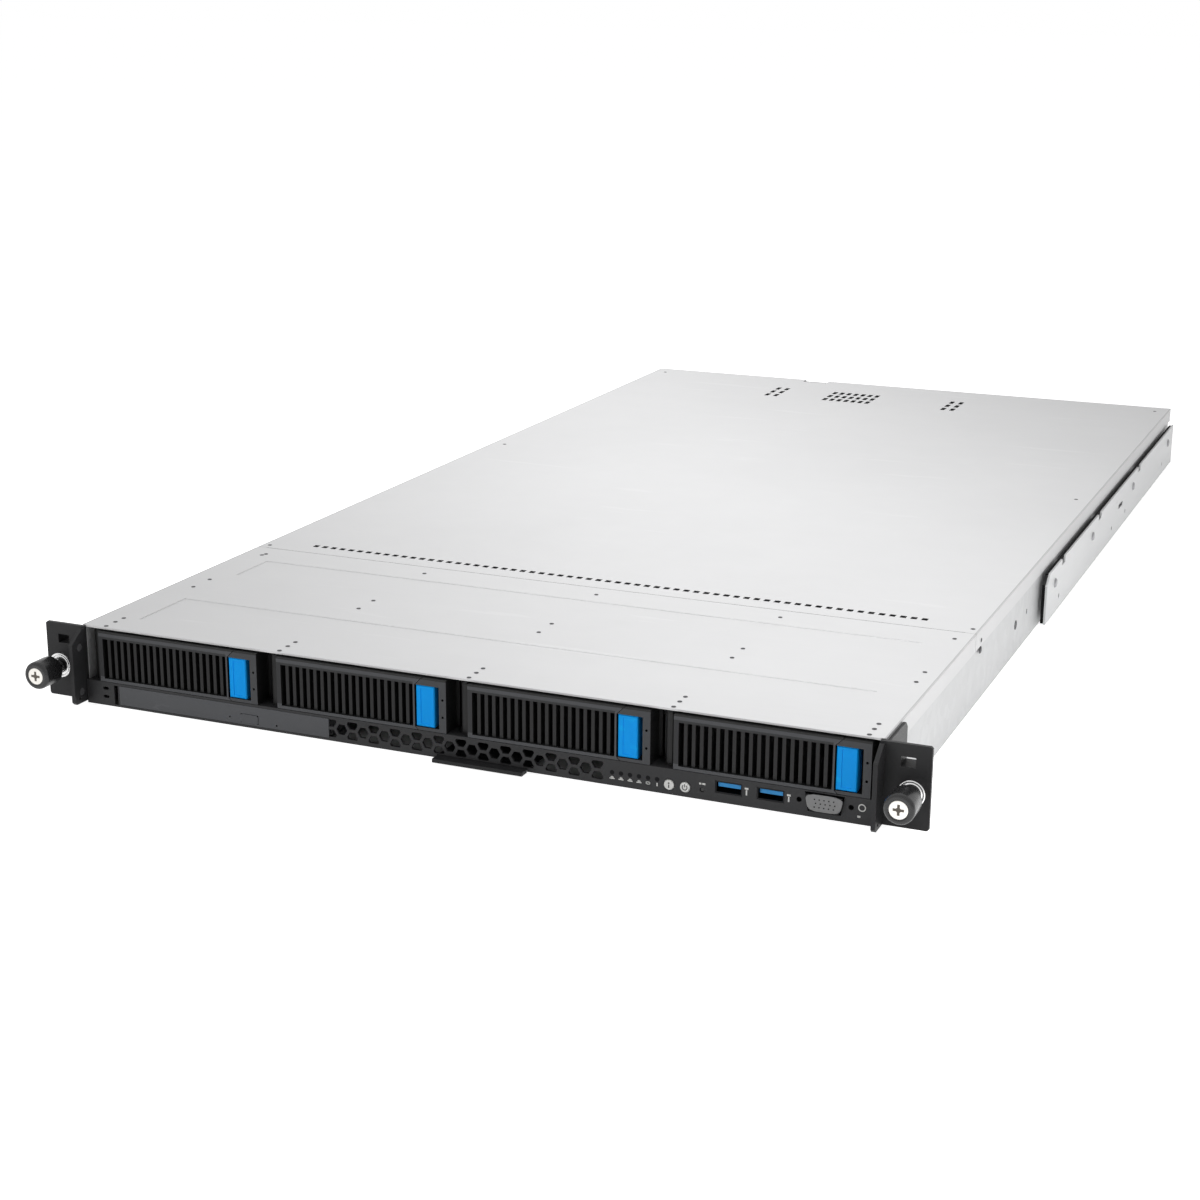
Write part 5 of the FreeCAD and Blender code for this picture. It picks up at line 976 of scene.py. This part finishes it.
class FINISH_OT_rear_details(bpy.types.Operator):
    """Linings and contacts of the rear ports, and inlet linings, fan guards and release tabs of the supplies."""

    bl_idname = "finish.rear_details"
    bl_label = "Rear details"

    def execute(self, context):
        low, high = box_mm("rear_ports")
        back, floor = high[1], low[2]
        sockets = (low[0] + 8, low[0] + 28)
        linings = [((x - 5.85, back - 13.9, floor + 1.65), (x + 5.85, back - 13.0, floor + 8.35)) for x in sockets]
        contacts = [((x - 3.6 + 0.95 * pin, back - 13.0, floor + 6.6), (x - 3.1 + 0.95 * pin, back - 4, floor + 7.0))
                    for x in sockets for pin in range(8)]
        add_blocks("network_linings", linings, "chassis", "socket_black", "port_steel")
        add_blocks("network_contacts", contacts, "chassis", "gold", "port_steel")
        for number, node in enumerate(SUPPLIES, start=1):
            self.supply(node, number)
        return {"FINISHED"}

    @staticmethod
    def supply(node, number):
        """Fan guard of four rings and a cross behind the grille, a coloured tab and a black inlet lining."""
        low, high = box_mm(node)
        left, end, floor = low[0], high[1] - 24, low[2]
        around = np.linspace(0, 2 * math.pi, 8, endpoint=False)
        guard = []
        for radius in (4.0, 8.0, 12.0, 15.0):
            profile = np.stack([0.4 * np.sin(around), radius + 0.4 * np.cos(around)], -1) * MM
            guard.append(ring(profile, at(left + 22.5, end + 0.5, floor + 20), 40))
        cross = [((left + 7, end + 0.2, floor + 19.6), (left + 38, end + 0.8, floor + 20.4)),
                 ((left + 22.1, end + 0.2, floor + 5), (left + 22.9, end + 0.8, floor + 35))]
        guard.append(slabs(np.array(cross) * MM))
        face_outward(add_parts(f"supply_guard_{number}", guard, node, "screw_head", "supply_sheet"))
        tab = [((left + 45.8, end + 1.2, floor + 30.8), (left + 68.2, end + 9.3, floor + 33.6))]
        soften(add_blocks(f"supply_tab_{number}", tab, node, "latch", "latch_blue"), 0.0007)
        walls = [((45.05, -13.8, 3.05), (45.7, 0.4, 19.95)), ((69.3, -13.8, 3.05), (69.95, 0.4, 19.95)),
                 ((45.7, -13.8, 3.05), (69.3, 0.4, 3.7)), ((45.7, -13.8, 19.3), (69.3, 0.4, 19.95)),
                 ((45.7, -13.95, 3.7), (69.3, -13.6, 19.3))]
        add_blocks(f"inlet_lining_{number}", np.array(walls) + np.array([left, end, floor]), node, "socket_black",
                   "supply_sheet")


FLOOR_HALF, FLOOR_LEVEL = 14.0, -0.0006  # metres
FLOOR_GLOW = 0.84
WORLD_LIGHT = 0.18
LAMPS = (  # name, place, target, size, twist in degrees, power in watts
    ("strip", (0.0, 0.40, 0.46), (0.0, 0.40, 0.0), (1.6, 0.28), 125.0, 4.7),
    ("front_left", (-0.75, -0.85, 0.38), (-0.1, 0.0, 0.02), (0.6, 0.6), 0.0, 5.4),
    ("right", (2.1, 0.1, 0.9), (0.1, 0.3, 0.0), (1.4, 1.4), 0.0, 8.4),
)


class FINISH_OT_stage(bpy.types.Operator):
    """Floor, lamps, world and camera."""

    bl_idname = "finish.stage"
    bl_label = "Studio"

    def execute(self, context):
        stage = context.scene.server_stage
        self.floor()
        self.world(context.scene)
        self.lamps(stage.lamp_level)
        self.camera(context.scene, stage)
        context.scene.view_settings.view_transform = "Standard"
        return {"FINISHED"}

    @staticmethod
    def shown_rays(tree):
        """One for camera, glossy and transmission rays, else zero."""
        paths = shader_node(tree, "LightPath").outputs
        first = step(tree, "MAXIMUM", paths["Is Camera Ray"], paths["Is Glossy Ray"])
        return step(tree, "MAXIMUM", first, paths["Is Transmission Ray"])

    def floor(self):
        """A wide pale floor that shows white and keeps the contact shadow."""
        mesh = bpy.data.meshes.new("floor")
        corners = [(-FLOOR_HALF, -FLOOR_HALF), (FLOOR_HALF, -FLOOR_HALF), (FLOOR_HALF, FLOOR_HALF),
                   (-FLOOR_HALF, FLOOR_HALF)]
        mesh.from_pydata([(x, y, FLOOR_LEVEL) for x, y in corners], [], [(0, 1, 2, 3)])
        floor = bpy.data.objects.new("floor", mesh)
        bpy.context.scene.collection.objects.link(floor)
        material = new_material("pale_floor", (0.9, 0.9, 0.9), 0.9, Specular_IOR_Level=0.0)
        tree = material.node_tree
        strength = step(tree, "MULTIPLY", self.shown_rays(tree), FLOOR_GLOW)
        glow = shader_node(tree, "Emission", {"Color": (1, 1, 1, 1), "Strength": strength})
        total = shader_node(tree, "AddShader", {0: tree.nodes["Principled BSDF"].outputs[0], 1: glow.outputs[0]})
        tree.links.new(total.outputs[0], tree.nodes["Material Output"].inputs["Surface"])
        floor.data.materials.append(material)

    def world(self, scene):
        """White to the eye and in reflections, a plain grey for light on the object."""
        world = bpy.data.worlds.new("studio")
        scene.world = world
        world.use_nodes = True
        tree = world.node_tree
        background = tree.nodes["Background"]
        background.inputs["Color"].default_value = (1, 1, 1, 1)
        strength = spread(tree, self.shown_rays(tree), 0.0, 1.0, WORLD_LIGHT, 1.0)
        tree.links.new(strength, background.inputs["Strength"])

    @staticmethod
    def lamps(level):
        """Soft boxes: a strip slantwise over the covers, one from the front left and one from the right."""
        for name, place, target, size, twist, power in LAMPS:
            data = bpy.data.lights.new(name, "AREA")
            data.shape = "RECTANGLE"
            data.size, data.size_y = size
            data.energy = power * level
            lamp = bpy.data.objects.new(name, data)
            bpy.context.scene.collection.objects.link(lamp)
            aim = (Vector(target) - Vector(place)).to_track_quat("-Z", "Y").to_matrix().to_4x4()
            turn = Matrix.Rotation(math.radians(twist), 4, "Z")
            lamp.matrix_world = Matrix.Translation(Vector(place)) @ aim @ turn
            lamp.visible_camera = False
            lamp.visible_glossy = False

    @staticmethod
    def camera(scene, stage):
        """A camera from its place, azimuth, elevation and roll."""
        data = bpy.data.cameras.new("camera")
        data.sensor_width = 36.0
        data.lens = stage.lens
        data.clip_start = 0.01
        data.clip_end = 100.0
        camera = bpy.data.objects.new("camera", data)
        scene.collection.objects.link(camera)
        turn, tilt, roll = stage.azimuth, stage.elevation, stage.roll
        forward = Vector((-math.sin(turn) * math.cos(tilt), math.cos(turn) * math.cos(tilt), -math.sin(tilt)))
        level = Vector((math.cos(turn), math.sin(turn), 0))
        upright = level.cross(forward)
        right = math.cos(roll) * level + math.sin(roll) * upright
        up = math.cos(roll) * upright - math.sin(roll) * level
        axes = Matrix((right, up, -forward)).transposed().to_4x4()
        camera.matrix_world = Matrix.Translation(Vector(stage.position)) @ axes
        scene.camera = camera


class FINISH_PT_panel(bpy.types.Panel):
    """Buttons and settings of the server's finish."""

    bl_idname = "FINISH_PT_panel"
    bl_label = "Rack Server"
    bl_space_type = "VIEW_3D"
    bl_region_type = "UI"
    bl_category = "Rack Server"

    def draw(self, context):
        for settings in (context.scene.server_finish, context.scene.server_stage):
            for name in settings.bl_rna.properties.keys():
                if name not in ("rna_type", "name"):
                    self.layout.prop(settings, name)
        for operator in OPERATORS:
            self.layout.operator(operator.bl_idname)


OPERATORS = (FINISH_OT_stage, FINISH_OT_surfaces, FINISH_OT_knobs, FINISH_OT_collar_rims, FINISH_OT_panel_prints,
             FINISH_OT_display_port, FINISH_OT_side_hardware, FINISH_OT_drive_lids, FINISH_OT_board_parts,
             FINISH_OT_rear_details)
CLASSES = (FinishSettings, StageSettings, *OPERATORS, FINISH_PT_panel)


def register():
    """Register the classes and attach the settings to the scene."""
    for item in CLASSES:
        bpy.utils.register_class(item)
    bpy.types.Scene.server_finish = bpy.props.PointerProperty(type=FinishSettings)
    bpy.types.Scene.server_stage = bpy.props.PointerProperty(type=StageSettings)


def unregister():
    """Undo register."""
    del bpy.types.Scene.server_stage
    del bpy.types.Scene.server_finish
    for item in reversed(CLASSES):
        bpy.utils.unregister_class(item)


def main():
    """Register the classes and run every operator in order."""
    register()
    bpy.ops.finish.stage()
    bpy.ops.finish.surfaces()
    bpy.ops.finish.knobs()
    bpy.ops.finish.collar_rims()
    bpy.ops.finish.panel_prints()
    bpy.ops.finish.display_port()
    bpy.ops.finish.side_hardware()
    bpy.ops.finish.drive_lids()
    bpy.ops.finish.board_parts()
    bpy.ops.finish.rear_details()


if __name__ == "__main__":
    main()
